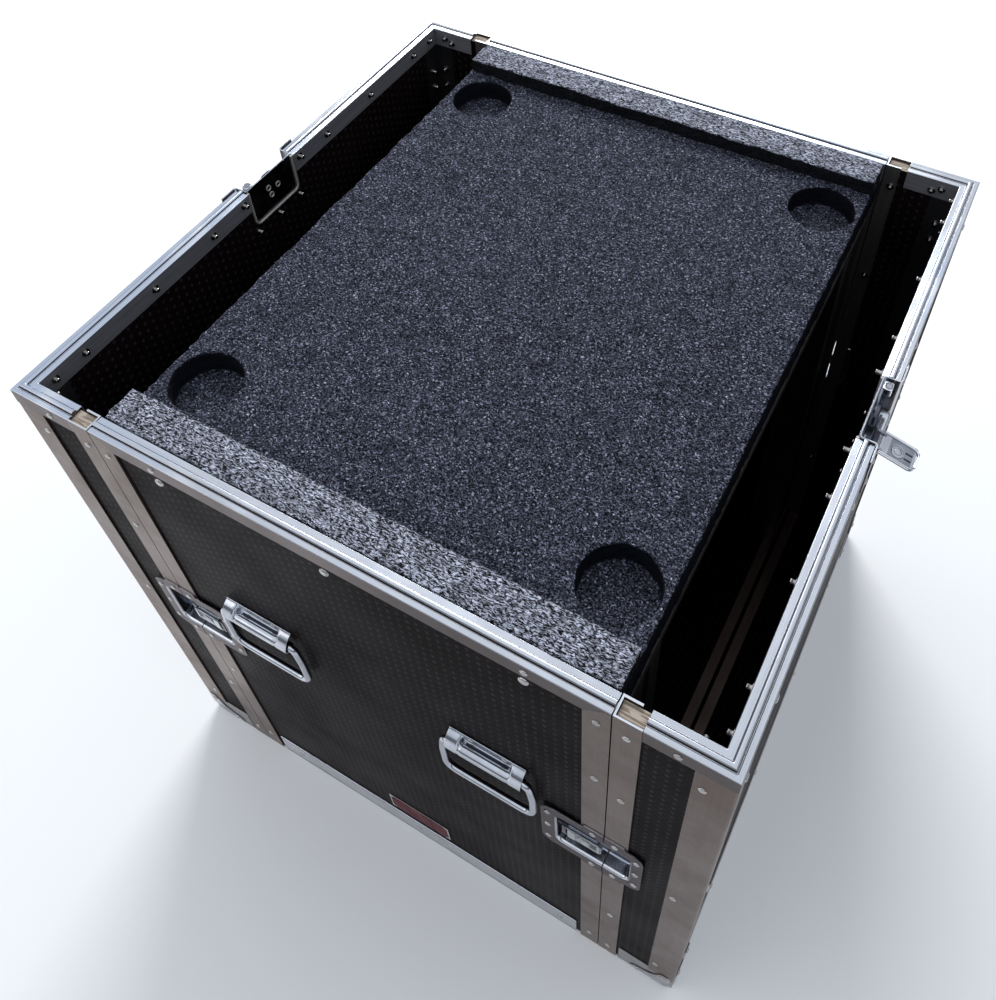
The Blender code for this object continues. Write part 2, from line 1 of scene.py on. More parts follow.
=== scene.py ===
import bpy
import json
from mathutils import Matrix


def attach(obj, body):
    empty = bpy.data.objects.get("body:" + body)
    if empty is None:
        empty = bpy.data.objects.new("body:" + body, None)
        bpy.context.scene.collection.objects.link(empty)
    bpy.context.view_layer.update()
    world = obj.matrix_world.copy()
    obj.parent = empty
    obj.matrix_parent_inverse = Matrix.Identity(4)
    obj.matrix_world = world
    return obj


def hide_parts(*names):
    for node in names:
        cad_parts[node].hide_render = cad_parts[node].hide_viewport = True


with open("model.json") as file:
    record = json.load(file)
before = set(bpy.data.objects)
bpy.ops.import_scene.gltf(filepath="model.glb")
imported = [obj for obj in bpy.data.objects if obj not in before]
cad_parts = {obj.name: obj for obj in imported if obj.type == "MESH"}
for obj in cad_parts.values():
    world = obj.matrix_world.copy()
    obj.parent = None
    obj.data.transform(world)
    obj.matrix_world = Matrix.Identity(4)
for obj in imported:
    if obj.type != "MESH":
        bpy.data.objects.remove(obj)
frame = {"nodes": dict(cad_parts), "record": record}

"""The looks of a foam-lined flight case: finishes, hardware detail, rivets and foam.

Every mesh is made in the case's own frame, in metres, on objects that sit at the origin, so
the texture coordinates of a piece are its places on the case.
"""
import json
import math

import bmesh
import bpy
import numpy as np
from mathutils import Matrix, Vector

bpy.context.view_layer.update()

# ---------------------------------------------------------------- sizes of the case
HALF_W, HALF_D, TOP, BASE = 0.3275, 0.3200, 0.6870, 0.0012
SEAM, GAP, PLY_OUT = 0.2375, 0.0003, 0.0018
STRIP_W, RIM_DROP, ANGLE_W, SKIRT_H = 0.0220, 0.0200, 0.0300, 0.0435
FOAM_TOP, FOAM_T, STRIP_TOP, FOAM_STRIP_W = 0.6686, 0.0350, 0.6846, 0.0340
LATCH_Z = 0.3640
LATCH_T = 0.0012
POCKET_D, POCKET_H, POCKET_BODY, POCKET_STRIKE = 0.0145, 0.0350, 0.0470, 0.0260
SPINDLE_U, WING_PIN_U, WING_PIN_N = 0.0220, 0.0398, -0.0021
HANDLE_X = (-0.1220, 0.1260)
FACES = (("near", -1), ("far", 1))
SIDES = (("left", -1), ("right", 1))


# ---------------------------------------------------------------- node graphs
class Graph:
    """A material's node tree, built by short calls. Sockets are passed as values or outputs."""

    def __init__(self, name):
        self.mat = bpy.data.materials.new(name)
        self.mat.use_nodes = True
        self.t = self.mat.node_tree
        self.bsdf = self.t.nodes["Principled BSDF"]
        self.co = self.node("ShaderNodeTexCoord").outputs["Object"]
        self.nor = self.node("ShaderNodeTexCoord").outputs["Normal"]

    def node(self, kind, **props):
        n = self.t.nodes.new(kind)
        for k, v in props.items():
            setattr(n, k, v)
        return n

    def put(self, socket, value):
        if isinstance(value, bpy.types.NodeSocket):
            self.t.links.new(value, socket)
        elif isinstance(value, (tuple, list)) and len(value) == 3 and len(socket.default_value) == 4:
            socket.default_value = (*value, 1.0)
        else:
            socket.default_value = value

    def math(self, op, a, b=0.0, c=None, clamp=False):
        n = self.node("ShaderNodeMath", operation=op, use_clamp=clamp)
        self.put(n.inputs[0], a)
        self.put(n.inputs[1], b)
        if c is not None:
            self.put(n.inputs[2], c)
        return n.outputs[0]

    def vec(self, op, a, b=(0.0, 0.0, 0.0), value=False):
        n = self.node("ShaderNodeVectorMath", operation=op)
        self.put(n.inputs[0], a)
        self.put(n.inputs[1], b)
        return n.outputs["Value" if value else "Vector"]

    def split(self, v):
        n = self.node("ShaderNodeSeparateXYZ")
        self.put(n.inputs[0], v)
        return n.outputs

    def merge(self, x, y, z):
        n = self.node("ShaderNodeCombineXYZ")
        for i, v in enumerate((x, y, z)):
            self.put(n.inputs[i], v)
        return n.outputs[0]

    def noise(self, co, scale, detail=3.0, rough=0.55, stretch=None, distortion=0.0):
        if stretch:
            co = self.vec("MULTIPLY", co, stretch)
        n = self.node("ShaderNodeTexNoise")
        self.put(n.inputs["Vector"], co)
        n.inputs["Scale"].default_value = scale
        n.inputs["Detail"].default_value = detail
        n.inputs["Roughness"].default_value = rough
        n.inputs["Distortion"].default_value = distortion
        return n.outputs["Fac"]

    def cells(self, co, scale, feature="F1", randomness=1.0, out="Distance", stretch=None):
        if stretch:
            co = self.vec("MULTIPLY", co, stretch)
        n = self.node("ShaderNodeTexVoronoi", feature=feature)
        self.put(n.inputs["Vector"], co)
        n.inputs["Scale"].default_value = scale
        n.inputs["Randomness"].default_value = randomness
        return n.outputs[out]

    def ramp(self, value, lo, hi, a=0.0, b=1.0, smooth=True):
        n = self.node("ShaderNodeMapRange", interpolation_type="SMOOTHSTEP" if smooth else "LINEAR")
        self.put(n.inputs["Value"], value)
        for k, v in (("From Min", lo), ("From Max", hi), ("To Min", a), ("To Max", b)):
            n.inputs[k].default_value = v
        return n.outputs["Result"]

    def mix(self, fac, a, b):
        n = self.node("ShaderNodeMix", data_type="RGBA")
        self.put(n.inputs["Factor"], fac)
        self.put(n.inputs["A"], a)
        self.put(n.inputs["B"], b)
        return n.outputs["Result"]

    def bump(self, height, strength, distance, after=None):
        n = self.node("ShaderNodeBump")
        n.inputs["Strength"].default_value = strength
        n.inputs["Distance"].default_value = distance
        self.put(n.inputs["Height"], height)
        if after is not None:
            self.put(n.inputs["Normal"], after)
        return n.outputs["Normal"]

    def finish(self, colour, rough, metal=0.0, normal=None, **fixed):
        self.put(self.bsdf.inputs["Base Color"], colour)
        self.put(self.bsdf.inputs["Roughness"], rough)
        self.bsdf.inputs["Metallic"].default_value = metal
        if normal is not None:
            self.put(self.bsdf.inputs["Normal"], normal)
        for k, v in fixed.items():
            self.bsdf.inputs[k.replace("_", " ")].default_value = v
        return self.mat


def laminate():
    """Black phenolic film pressed with a fine honeycomb mesh, over plywood that shows at cut tops."""
    g = Graph("laminate")
    x, y, z = g.split(g.co)
    nx, ny, nz = g.split(g.nor)
    side = g.math("GREATER_THAN", g.math("ABSOLUTE", nx), 0.7)
    flat = g.math("GREATER_THAN", g.math("ABSOLUTE", nz), 0.7)
    # along and up the face, whichever way it looks
    a = g.math("ADD", g.math("MULTIPLY", x, g.math("SUBTRACT", 1.0, side)), g.math("MULTIPLY", y, side))
    b = g.math("ADD", g.math("MULTIPLY", z, g.math("SUBTRACT", 1.0, flat)), g.math("MULTIPLY", y, flat))
    # the cells stack one above the other
    pitch, h = 0.0101, math.sqrt(3.0)
    p = g.merge(g.math("MULTIPLY_ADD", b, 1.0 / pitch, 60.0), g.math("MULTIPLY_ADD", a, 1.0 / pitch, 60.0 * h), 0.0)
    half = (0.5, h / 2.0, 0.0)
    cells = []
    for q in (p, g.vec("ADD", p, half)):
        cells.append(g.vec("SUBTRACT", g.vec("MODULO", q, (1.0, h, 1.0)), half))
    da, db = (g.vec("DOT_PRODUCT", c, c, True) for c in cells)
    pick = g.math("LESS_THAN", da, db)
    n = g.node("ShaderNodeMix", data_type="VECTOR")
    g.put(n.inputs["Factor"], pick)
    g.put(n.inputs[4], cells[1])
    g.put(n.inputs[5], cells[0])
    cell = g.vec("ABSOLUTE", n.outputs[1])
    d = g.math("MAXIMUM", g.split(cell)[0], g.vec("DOT_PRODUCT", cell, (0.5, h / 2.0, 0.0), True))
    line = g.ramp(d, 0.36, 0.47)
    oval = g.vec("MULTIPLY", cell, (1.0 / 0.25, 1.0 / 0.19, 0.0))
    pip = g.ramp(g.vec("DOT_PRODUCT", oval, oval, True), 0.30, 1.0, 1.0, 0.0)
    worn = g.noise(g.co, 38.0, 4.0, 0.6)
    fine = g.noise(g.co, 900.0, 2.0, 0.5)
    dirt = g.noise(g.co, 9.0, 5.0, 0.6)
    height = g.math("ADD", g.math("MULTIPLY", line, g.ramp(worn, 0.25, 0.7, 0.55, 1.0)), g.math("MULTIPLY", fine, 0.10))
    # a raised pip in each cell, coloured pale at its centre as a painted highlight
    pip = g.math("MULTIPLY", pip, g.ramp(worn, 0.30, 0.62, 0.35, 1.0))
    height = g.math("ADD", g.math("MULTIPLY", height, 0.35), pip)
    normal = g.bump(height, 0.60, 0.00022)
    film = g.mix(g.ramp(dirt, 0.35, 0.75), (0.0064, 0.0037, 0.0038), (0.0095, 0.0061, 0.0059))
    # painted highlight: each pip is coloured a pale grey
    film = g.mix(g.math("MULTIPLY", pip, 0.80), film, (0.034, 0.033, 0.038))
    plies = g.noise(g.merge(g.math("MULTIPLY", x, 0.10), y, g.math("MULTIPLY", z, 0.1)), 620.0, 2.0, 0.6)
    fibre = g.noise(g.co, 160.0, 4.0, 0.6, (0.15, 1.0, 1.0))
    wood = g.mix(g.ramp(plies, 0.40, 0.58), (0.200, 0.160, 0.125), (0.44, 0.380, 0.315))
    wood = g.mix(g.math("MULTIPLY", g.ramp(fibre, 0.45, 0.75), 0.4), wood, (0.24, 0.19, 0.14))
    top = g.math("MULTIPLY", g.math("GREATER_THAN", nz, 0.7), g.math("GREATER_THAN", z, 0.660))
    colour = g.mix(top, film, wood)
    rough = g.math("ADD", g.ramp(dirt, 0.3, 0.8, 0.34, 0.50), g.math("MULTIPLY", pip, -0.06))
    rough = g.math("MAXIMUM", rough, g.math("MULTIPLY", top, 0.75))
    return g.finish(colour, rough, 0.0, normal, IOR=1.065, Specular_Tint=(1.0, 0.90, 0.90, 1.0))


def metal(name, colour, dark, rough, brushed=None, scratch=0.35, flat=None, deep=None, bump=0.00003, smudge=0.10,
          patch=14.0, crown=None, inner=None, edge=None, tarnish=None):
    """Bare or plated metal: brushed along one way, with scratches, smudges and darker worn places.

    brushed is an axis name, 'frame' for members that turn a corner in plan, or None.
    """
    g = Graph(name)
    x, y, z = g.split(g.co)
    if brushed == "frame":
        # lengths along X near the long faces, along Y near the ends
        turn = g.math("LESS_THAN", g.math("SUBTRACT", HALF_W, g.math("ABSOLUTE", x)),
                      g.math("SUBTRACT", HALF_D, g.math("ABSOLUTE", y)))
        kx = g.math("MULTIPLY_ADD", turn, 0.97, 0.03)
        ky = g.math("MULTIPLY_ADD", turn, -0.97, 1.0)
        co = g.merge(g.math("MULTIPLY", x, kx), g.math("MULTIPLY", y, ky), z)
    elif brushed:
        co = g.vec("MULTIPLY", g.co, tuple(0.03 if brushed == k else 1.0 for k in "xyz"))
    else:
        co = g.co
    grain = g.noise(co, 2600.0 if brushed else 700.0, 3.0, 0.6)
    streak = g.noise(co, 420.0 if brushed else 90.0, 4.0, 0.65)
    blot = g.noise(g.co, patch, 5.0, 0.62)
    fine = g.noise(g.co, 120.0, 4.0, 0.7)
    # sparse scratches: thin ridges of a stretched noise
    s1 = g.noise(g.co, 160.0, 1.0, 0.4, (0.25, 1.0, 1.0), 0.6)
    s2 = g.noise(g.co, 130.0, 1.0, 0.4, (1.0, 1.0, 0.22), 0.6)
    lines = g.math("MAXIMUM", g.ramp(g.math("ABSOLUTE", g.math("SUBTRACT", s1, 0.56)), 0.0, 0.006, 1.0, 0.0),
                   g.ramp(g.math("ABSOLUTE", g.math("SUBTRACT", s2, 0.44)), 0.0, 0.005, 1.0, 0.0))
    lines = g.math("MULTIPLY", lines, g.ramp(g.noise(g.co, 24.0, 2.0), 0.50, 0.66))
    worn = g.math("MULTIPLY_ADD", g.ramp(streak, 0.25, 0.75), 0.45, g.math("MULTIPLY", g.ramp(blot, 0.30, 0.72), 0.55))
    c = g.mix(worn, colour, dark)
    c = g.mix(g.math("MULTIPLY", g.ramp(fine, 0.56, 0.74), 0.16), c, tuple(0.60 * v for v in dark))
    if tarnish:
        c = g.mix(g.math("MULTIPLY", g.ramp(g.noise(g.co, 5.5, 3.0, 0.55), 0.42, 0.62), 0.75), c, tarnish)
        c = g.mix(g.math("MULTIPLY", g.ramp(g.noise(g.co, 9.0, 3.0, 0.55), 0.54, 0.70), 0.6), c, (0.86, 0.88, 0.92))
    nx, ny, nz = g.split(g.nor)
    level = g.ramp(g.math("MAXIMUM", g.math("ABSOLUTE", nx), g.math("ABSOLUTE", ny)), 0.93, 0.995)
    if flat:
        level = g.ramp(g.math("MAXIMUM", g.math("ABSOLUTE", nx), g.math("ABSOLUTE", ny)), 0.86, 0.96)
        # painted shade: faces that look sideways take the darker flat colour, and rolled edges keep the paler metal
        # colour as painted highlight
        c = g.mix(level, c, g.mix(g.ramp(blot, 0.3, 0.7), flat, tuple(0.82 * v for v in flat)))
    if deep:
        # painted shade: faces set in from the case's outer faces, inside the drawn pockets, are coloured a darker
        # bluish grey
        inset = g.math("MINIMUM", g.math("SUBTRACT", HALF_D, g.math("ABSOLUTE", y)),
                       g.math("SUBTRACT", HALF_W, g.math("ABSOLUTE", x)))
        c = g.mix(g.math("MULTIPLY", g.ramp(inset, 0.0035, 0.0090), 0.85), c, deep)
    if crown:
        # painted highlight: the faces at the strips' tops that do not look sideways take the pale crown colour
        top = g.math("MULTIPLY", g.ramp(z, 0.664, 0.674), g.math("SUBTRACT", 1.0, level))
        c = g.mix(top, c, crown)
    if inner and brushed == "z":
        # a near-black line along the joint, on the inside of the floor
        away = g.math("ABSOLUTE", g.math("SUBTRACT", g.math("ABSOLUTE", x), SEAM))
        dark_joint_line = g.math("MULTIPLY", g.ramp(away, 0.0020, 0.0032, 1.0, 0.0),
                       g.math("MULTIPLY", g.math("GREATER_THAN", nz, 0.7), g.math("LESS_THAN", z, 0.05)))
        c = g.mix(dark_joint_line, c, (0.003, 0.003, 0.003))
    r = g.math("MULTIPLY_ADD", grain, 0.12, rough - 0.06)
    r = g.math("ADD", r, g.ramp(blot, 0.35, 0.8, -0.03, smudge))
    r = g.math("ADD", r, g.math("MULTIPLY", lines, 0.10 * scratch), clamp=True)
    if inner:
        # the legs inside the case: a chalky, even grey, darker and duller than the outer faces
        inset = g.math("MINIMUM", g.math("SUBTRACT", HALF_D, g.math("ABSOLUTE", y)),
                       g.math("SUBTRACT", HALF_W, g.math("ABSOLUTE", x)))
        leg = g.math("MULTIPLY", g.ramp(inset, 0.0155, 0.0160), level)
        c = g.mix(leg, c, g.mix(g.ramp(streak, 0.3, 0.7), inner, tuple(0.7 * v for v in inner)))
        r = g.math("MAXIMUM", r, g.math("MULTIPLY", leg, 0.55))
    h = g.math("ADD", g.math("MULTIPLY", grain, 0.5), g.math("MULTIPLY", streak, 0.5))
    h = g.math("SUBTRACT", h, g.math("MULTIPLY", lines, scratch * 1.5))
    n = g.bump(h, 0.5, bump)
    out = g.finish(c, r, 1.0, n)
    if edge:
        g.bsdf.inputs["Specular Tint"].default_value = (*edge, 1.0)
    if inner:
        g.put(g.bsdf.inputs["Metallic"], g.math("SUBTRACT", 1.0, g.math("MULTIPLY", leg, 0.75)))
    return out


def plywood():
    g = Graph("plywood")
    rings = g.noise(g.co, 12.0, 6.0, 0.65, (0.12, 1.0, 1.0), 1.2)
    pores = g.noise(g.co, 420.0, 2.0, 0.6, (0.08, 1.0, 1.0))
    c = g.mix(g.ramp(rings, 0.3, 0.7), (0.016, 0.014, 0.012), (0.034, 0.028, 0.022))
    c = g.mix(g.math("MULTIPLY", g.ramp(pores, 0.62, 0.80), 0.6), c, (0.16, 0.11, 0.06))
    return g.finish(c, 0.66, 0.0, g.bump(g.math("ADD", rings, pores), 0.35, 0.0002))


def foam(name, strip=False):
    """Rough-cut charcoal foam. The bed is a fine dark grain with a few painted glints; the strips are torn along their
    length, with pale streaks painted as glints and sheen. Cut sides are darker than the tops, as painted shade."""
    g = Graph(name)
    st = (0.26, 1.0, 1.0) if strip else (0.75, 1.0, 1.0)
    k = 0.0030 if strip else 0.0040
    jog = g.vec("SUBTRACT", g.colour_noise(g.co, 230.0), (0.5, 0.5, 0.5))
    warp = g.vec("MULTIPLY", g.vec("ADD", g.co, g.vec("MULTIPLY", jog, (k, k, k))), st)
    nx, ny, nz = g.split(g.nor)
    # painted shade: faces that do not look up are darkened, so cut sides and recess walls come out near-black
    up = g.ramp(nz, 0.35, 0.80, 0.025, 1.0)
    large = g.noise(g.co, 11.0, 4.0, 0.55)
    middle = g.noise(g.co, 70.0, 3.0, 0.6)
    big = g.noise(warp, 330.0, 2.0, 0.6)
    fine = g.noise(warp, 760.0, 2.0, 0.65)
    tone = g.split(g.cells(warp, 440.0, out="Color"))[0]
    pit = g.cells(warp, 440.0)
    # painted highlights: sparse pale specks, only on faces that look up
    glint = g.math("MULTIPLY", g.ramp(pit, 0.10, 0.32, 1.0, 0.0), g.ramp(tone, 0.78, 0.88))
    if strip:
        dash = g.ramp(g.noise(warp, 1000.0, 3.0, 0.60), 0.43, 0.56)
        body = g.math("MULTIPLY", dash, g.ramp(fine, 0.30, 0.55, 0.30, 1.0))
        body = g.math("MULTIPLY", body, g.ramp(middle, 0.30, 0.66, 0.45, 1.0))
        lit = g.math("MULTIPLY", body, up)
        # painted glints and sheen: the torn streaks on the tops are coloured a pale bluish grey
        c = g.mix(lit, (0.0020, 0.0022, 0.0038), (0.600, 0.635, 0.760))
        c = g.mix(g.math("MULTIPLY", g.math("MULTIPLY", glint, up), 0.85), c, (0.82, 0.85, 0.92))
        h = g.math("ADD", g.math("MULTIPLY", body, 0.8), g.math("MULTIPLY", big, 0.4))
        n = g.bump(h, 0.9, 0.0012)
        rough = g.math("MAXIMUM", g.math("MULTIPLY_ADD", body, -0.28, 0.84), g.ramp(nz, 0.35, 0.80, 1.0, 0.0))
        return g.finish(c, rough, 0.0, n, Specular_IOR_Level=0.16)
    body = g.math("MULTIPLY", g.ramp(fine, 0.43, 0.60), g.ramp(pit, 0.25, 0.62, 1.0, 0.25))
    body = g.math("MULTIPLY", body, g.ramp(middle, 0.28, 0.66, 0.55, 1.0))
    body = g.math("MULTIPLY", body, up)
    dark = g.mix(g.ramp(large, 0.3, 0.7), (0.0022, 0.0025, 0.0048), (0.0046, 0.0051, 0.0090))
    c = g.mix(body, dark, (0.236, 0.250, 0.338))
    c = g.mix(g.math("MULTIPLY", g.math("MULTIPLY", glint, up), 0.60), c, (0.66, 0.70, 0.80))
    h = g.math("ADD", g.math("MULTIPLY", big, 0.6), g.math("MULTIPLY", body, 0.5))
    n = g.bump(h, 1.0, 0.0012)
    return g.finish(c, g.math("MULTIPLY_ADD", body, -0.25, 0.90), 0.0, n, Specular_IOR_Level=0.08)


def colour_noise(self, co, scale):
    n = self.node("ShaderNodeTexNoise")
    self.put(n.inputs["Vector"], co)
    n.inputs["Scale"].default_value = scale
    n.inputs["Detail"].default_value = 1.0
    return n.outputs["Color"]


Graph.colour_noise = colour_noise


def label():
    g = Graph("label_enamel")
    blot = g.noise(g.co, 60.0, 4.0, 0.6)
    fine = g.noise(g.co, 900.0, 2.0, 0.6)
    c = g.mix(g.ramp(blot, 0.3, 0.75), (0.115, 0.010, 0.018), (0.070, 0.007, 0.012))
    return g.finish(c, g.ramp(blot, 0.3, 0.8, 0.38, 0.56), 0.0, g.bump(fine, 0.4, 0.00005), IOR=1.16)


M = {
    "laminate": laminate(),
    "strip": metal("seam_aluminium", (0.200, 0.147, 0.126), (0.146, 0.106, 0.090), 0.38, "z", 0.5,
                   # crown: painted highlight on the strips' tops
                   crown=(0.60, 0.62, 0.66), inner=(0.075, 0.070, 0.068)),
    "strip_x": metal("bottom_aluminium", (0.78, 0.80, 0.84), (0.56, 0.58, 0.62), 0.24, "x", 0.5,
                     # flat: painted shade on the edging's faces that look sideways
                     flat=(0.30, 0.29, 0.30)),
    "rim": metal("rim_aluminium", (0.65, 0.67, 0.715), (0.49, 0.51, 0.55), 0.22, "frame", 0.5,
                 # flat: painted shade on the rim's faces that look sideways
                 flat=(0.140, 0.124, 0.120), inner=(0.20, 0.20, 0.215), bump=0.000006,
                 edge=(0.78, 0.74, 0.74), tarnish=(0.48, 0.54, 0.65)),
    "skirt_rib": metal("cover_edging_aluminium", (0.40, 0.39, 0.39), (0.27, 0.26, 0.26), 0.34, "frame", 0.5),
    "inner": metal("inner_angle_aluminium", (0.16, 0.16, 0.17), (0.10, 0.10, 0.10), 0.46, "z", 0.5),
    "chrome": metal("chrome_plate", (0.63, 0.66, 0.72), (0.44, 0.455, 0.49), 0.12, None, 0.3, bump=0.000003,
                    patch=40.0, smudge=0.08),
    # flat: painted shade on the latch faces that look sideways
    "zinc": metal("zinc_plate", (0.74, 0.76, 0.80), (0.54, 0.56, 0.60), 0.20, None, 0.5, flat=(0.120, 0.113, 0.115),
                  # deep: painted shade inside the drawn pockets
                  deep=(0.38, 0.41, 0.47), bump=0.00002, patch=60.0, edge=(0.64, 0.60, 0.61)),
    "key": metal("key_zinc", (0.36, 0.375, 0.41), (0.22, 0.23, 0.255), 0.26, None, 0.6, bump=0.00004, patch=70.0),
    # a much paler copy of the key's zinc, as painted highlight on rolled rims and the lug
    "key_highlight": metal("key_zinc_painted_highlight", (0.90, 0.92, 0.96), (0.74, 0.76, 0.80), 0.17, None, 0.4, bump=0.00001, patch=70.0),
    "key_boss": metal("key_boss_zinc", (0.58, 0.59, 0.62), (0.40, 0.41, 0.44), 0.20, None, 0.5, bump=0.00002, patch=70.0),
    "bead": metal("bead_steel", (0.46, 0.42, 0.39), (0.33, 0.30, 0.275), 0.42, None, 0.4, bump=0.00002, patch=70.0),
    "recess": metal("shaded_recess", (0.060, 0.065, 0.080), (0.035, 0.038, 0.048), 0.34, None, 0.5, patch=70.0),
    "dark_zinc": metal("dark_zinc", (0.10, 0.105, 0.13), (0.04, 0.042, 0.055), 0.32, None, 0.6, patch=60.0),
    "corner": metal("corner_steel", (0.40, 0.40, 0.42), (0.22, 0.215, 0.22), 0.27, None, 0.9, bump=0.00006, patch=50.0),
    "rail": metal("rail_steel", (0.34, 0.34, 0.35), (0.20, 0.20, 0.21), 0.40, "z", 0.5),
    "rivet": metal("rivet_steel", (0.56, 0.54, 0.53), (0.36, 0.345, 0.335), 0.20, None, 0.4, patch=90.0),
    "wood": plywood(),
    "foam": foam("foam_bed_cells"),
    "foam_strip": foam("foam_strip_cells", True),
    "label": label(),
}
M["bead"].node_tree.nodes["Principled BSDF"].inputs["Metallic"].default_value = 0.30


# ---------------------------------------------------------------- mesh helpers
def add(name, me, body, mat, slot, *replaced):
    ob = bpy.data.objects.new(name, me)
    bpy.context.scene.collection.objects.link(ob)
    me.materials.clear()
    me.materials.append(M[mat])
    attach(ob, body)
    if replaced:
        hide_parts(*replaced)
    return ob


def bake(ob):
    """Apply an object's modifiers."""
    dg = bpy.context.evaluated_depsgraph_get()
    dg.update()
    me = bpy.data.meshes.new_from_object(ob.evaluated_get(dg))
    old = ob.data
    ob.modifiers.clear()
    ob.data = me
    me.name = ob.name
    bpy.data.meshes.remove(old)
    return ob


def shade(me, angle=40.0):
    me.shade_smooth()
    me.set_sharp_from_angle(angle=math.radians(angle))


def weighted(ob):
    m = ob.modifiers.new("n", "WEIGHTED_NORMAL")
    m.keep_sharp = True
    m.weight = 80
    return bake(ob)


BODY_OF = {n: b for b, nodes in frame["record"]["behaviour"]["bodies"].items() for n in nodes}
SLOT_OF = {s["node"]: s["material_slot"] for s in frame["record"]["subparts"]}


def refined(node, mat, width=0.0003, seg=2, angle=28.0):
    """A CAD node's own shape with its triangles merged into faces and its edges finely rounded."""
    src = frame["nodes"][node]
    bm = bmesh.new()
    bm.from_mesh(src.data)
    bmesh.ops.remove_doubles(bm, verts=bm.verts, dist=2e-5)
    bmesh.ops.dissolve_limit(bm, angle_limit=math.radians(0.8), verts=bm.verts, edges=bm.edges,
                             delimit={"NORMAL"})
    me = bpy.data.meshes.new(node + "_fine")
    bm.to_mesh(me)
    bm.free()
    ob = add(node + "_fine", me, BODY_OF[node], mat, SLOT_OF[node], node)
    m = ob.modifiers.new("b", "BEVEL")
    m.width = width
    m.segments = seg
    m.limit_method = "ANGLE"
    m.angle_limit = math.radians(angle)
    m.use_clamp_overlap = True
    m.miter_outer = "MITER_ARC"
    m.harden_normals = False
    bake(ob)
    shade(ob.data)
    weighted(ob)
    return ob


# ---------------------------------------------------------------- latch axes
class Spot:
    """A latch's own axes: u from the seam into the body half, v along the seam, n outwards."""

    def __init__(self, origin, u, n):
        self.o, self.u, self.n = Vector(origin), Vector(u), Vector(n)
        self.v = self.n.cross(self.u)

    def at(self, u, v, n):
        return self.o + self.u * u + self.v * v + self.n * n

    def local(self, p):
        d = p - self.o
        return d.dot(self.u), d.dot(self.v), d.dot(self.n)


SPOTS = {}
for face, ny in FACES:
    for side, sx in SIDES:
        SPOTS[face + "_" + side] = Spot((sx * SEAM, ny * HALF_D, LATCH_Z), (-sx, 0, 0), (0, ny, 0))
for side, sx in SIDES:
    SPOTS["lid_" + side] = Spot((sx * HALF_W, 0, TOP), (0, 0, -1), (sx, 0, 0))


# ---------------------------------------------------------------- shapes
def poly_mesh(name, verts, faces):
    bm = bmesh.new()
    vs = [bm.verts.new(v) for v in verts]
    for f in faces:
        bm.faces.new([vs[i] for i in f])
    bmesh.ops.recalc_face_normals(bm, faces=bm.faces)
    me = bpy.data.meshes.new(name)
    bm.to_mesh(me)
    bm.free()
    return me


def prism(name, outline, place, lo, hi):
    n = len(outline)
    v = [place(a, b, lo) for a, b in outline] + [place(a, b, hi) for a, b in outline]
    f = [tuple(range(n)), tuple(range(2 * n - 1, n - 1, -1))]
    f += [(i, (i + 1) % n, n + (i + 1) % n, n + i) for i in range(n)]
    return poly_mesh(name, v, f)


def round_rect(x0, y0, x1, y1, r, seg=5):
    pts = []
    for cx, cy, a0 in ((x0 + r, y0 + r, 180), (x1 - r, y0 + r, 270), (x1 - r, y1 - r, 0), (x0 + r, y1 - r, 90)):
        for k in range(seg + 1):
            a = math.radians(a0 + 90 * k / seg)
            pts.append((cx + r * math.cos(a), cy + r * math.sin(a)))
    return pts


def swept(name, path, profile, across, outward):
    """Profile (a outwards, b across) along a flat path with mitred corners."""
    path = [Vector(p) for p in path]
    across = Vector(across)
    dirs = [(path[i + 1] - path[i]).normalized() for i in range(len(path) - 1)]
    nors = [(d.cross(across) * outward).normalized() for d in dirs]
    rings = []
    for i, p in enumerate(path):
        if i == 0:
            m = nors[0]
        elif i == len(path) - 1:
            m = nors[-1]
        else:
            m = (nors[i - 1] + nors[i]) / (1.0 + nors[i - 1].dot(nors[i]))
        rings.append([p + m * a + across * b for a, b in profile])
    n = len(profile)
    verts = [v for r in rings for v in r]
    faces = [tuple(range(n)), tuple(range(len(verts) - 1, len(verts) - n - 1, -1))]
    for k in range(len(rings) - 1):
        for i in range(n):
            j = (i + 1) % n
            faces.append((k * n + i, k * n + j, (k + 1) * n + j, (k + 1) * n + i))
    return poly_mesh(name, verts, faces)


def edged(ob, width, seg=2, angle=28.0, sharp=40.0):
    """Round an object's sharp edges a little and shade it."""
    m = ob.modifiers.new("b", "BEVEL")
    m.width, m.segments, m.limit_method, m.angle_limit = width, seg, "ANGLE", math.radians(angle)
    m.use_clamp_overlap = True
    bake(ob)
    shade(ob.data, sharp)
    return weighted(ob)


def boolean(ob, others, operation="DIFFERENCE"):
    for me in others:
        tool = bpy.data.objects.new("tool", me)
        bpy.context.scene.collection.objects.link(tool)
        m = ob.modifiers.new("b", "BOOLEAN")
        m.operation, m.solver, m.object = operation, "EXACT", tool
        bake(ob)
        bpy.data.objects.remove(tool, do_unlink=True)
    return ob


def lattice(ix, iy, iz, seed):
    h = (ix * 374761393 + iy * 668265263 + iz * 1440662683 + seed * 1274126177) & 0xFFFFFFFF
    h = ((h ^ (h >> 13)) * 1274126177) & 0xFFFFFFFF
    return ((h ^ (h >> 16)) & 0xFFFF) / 65535.0


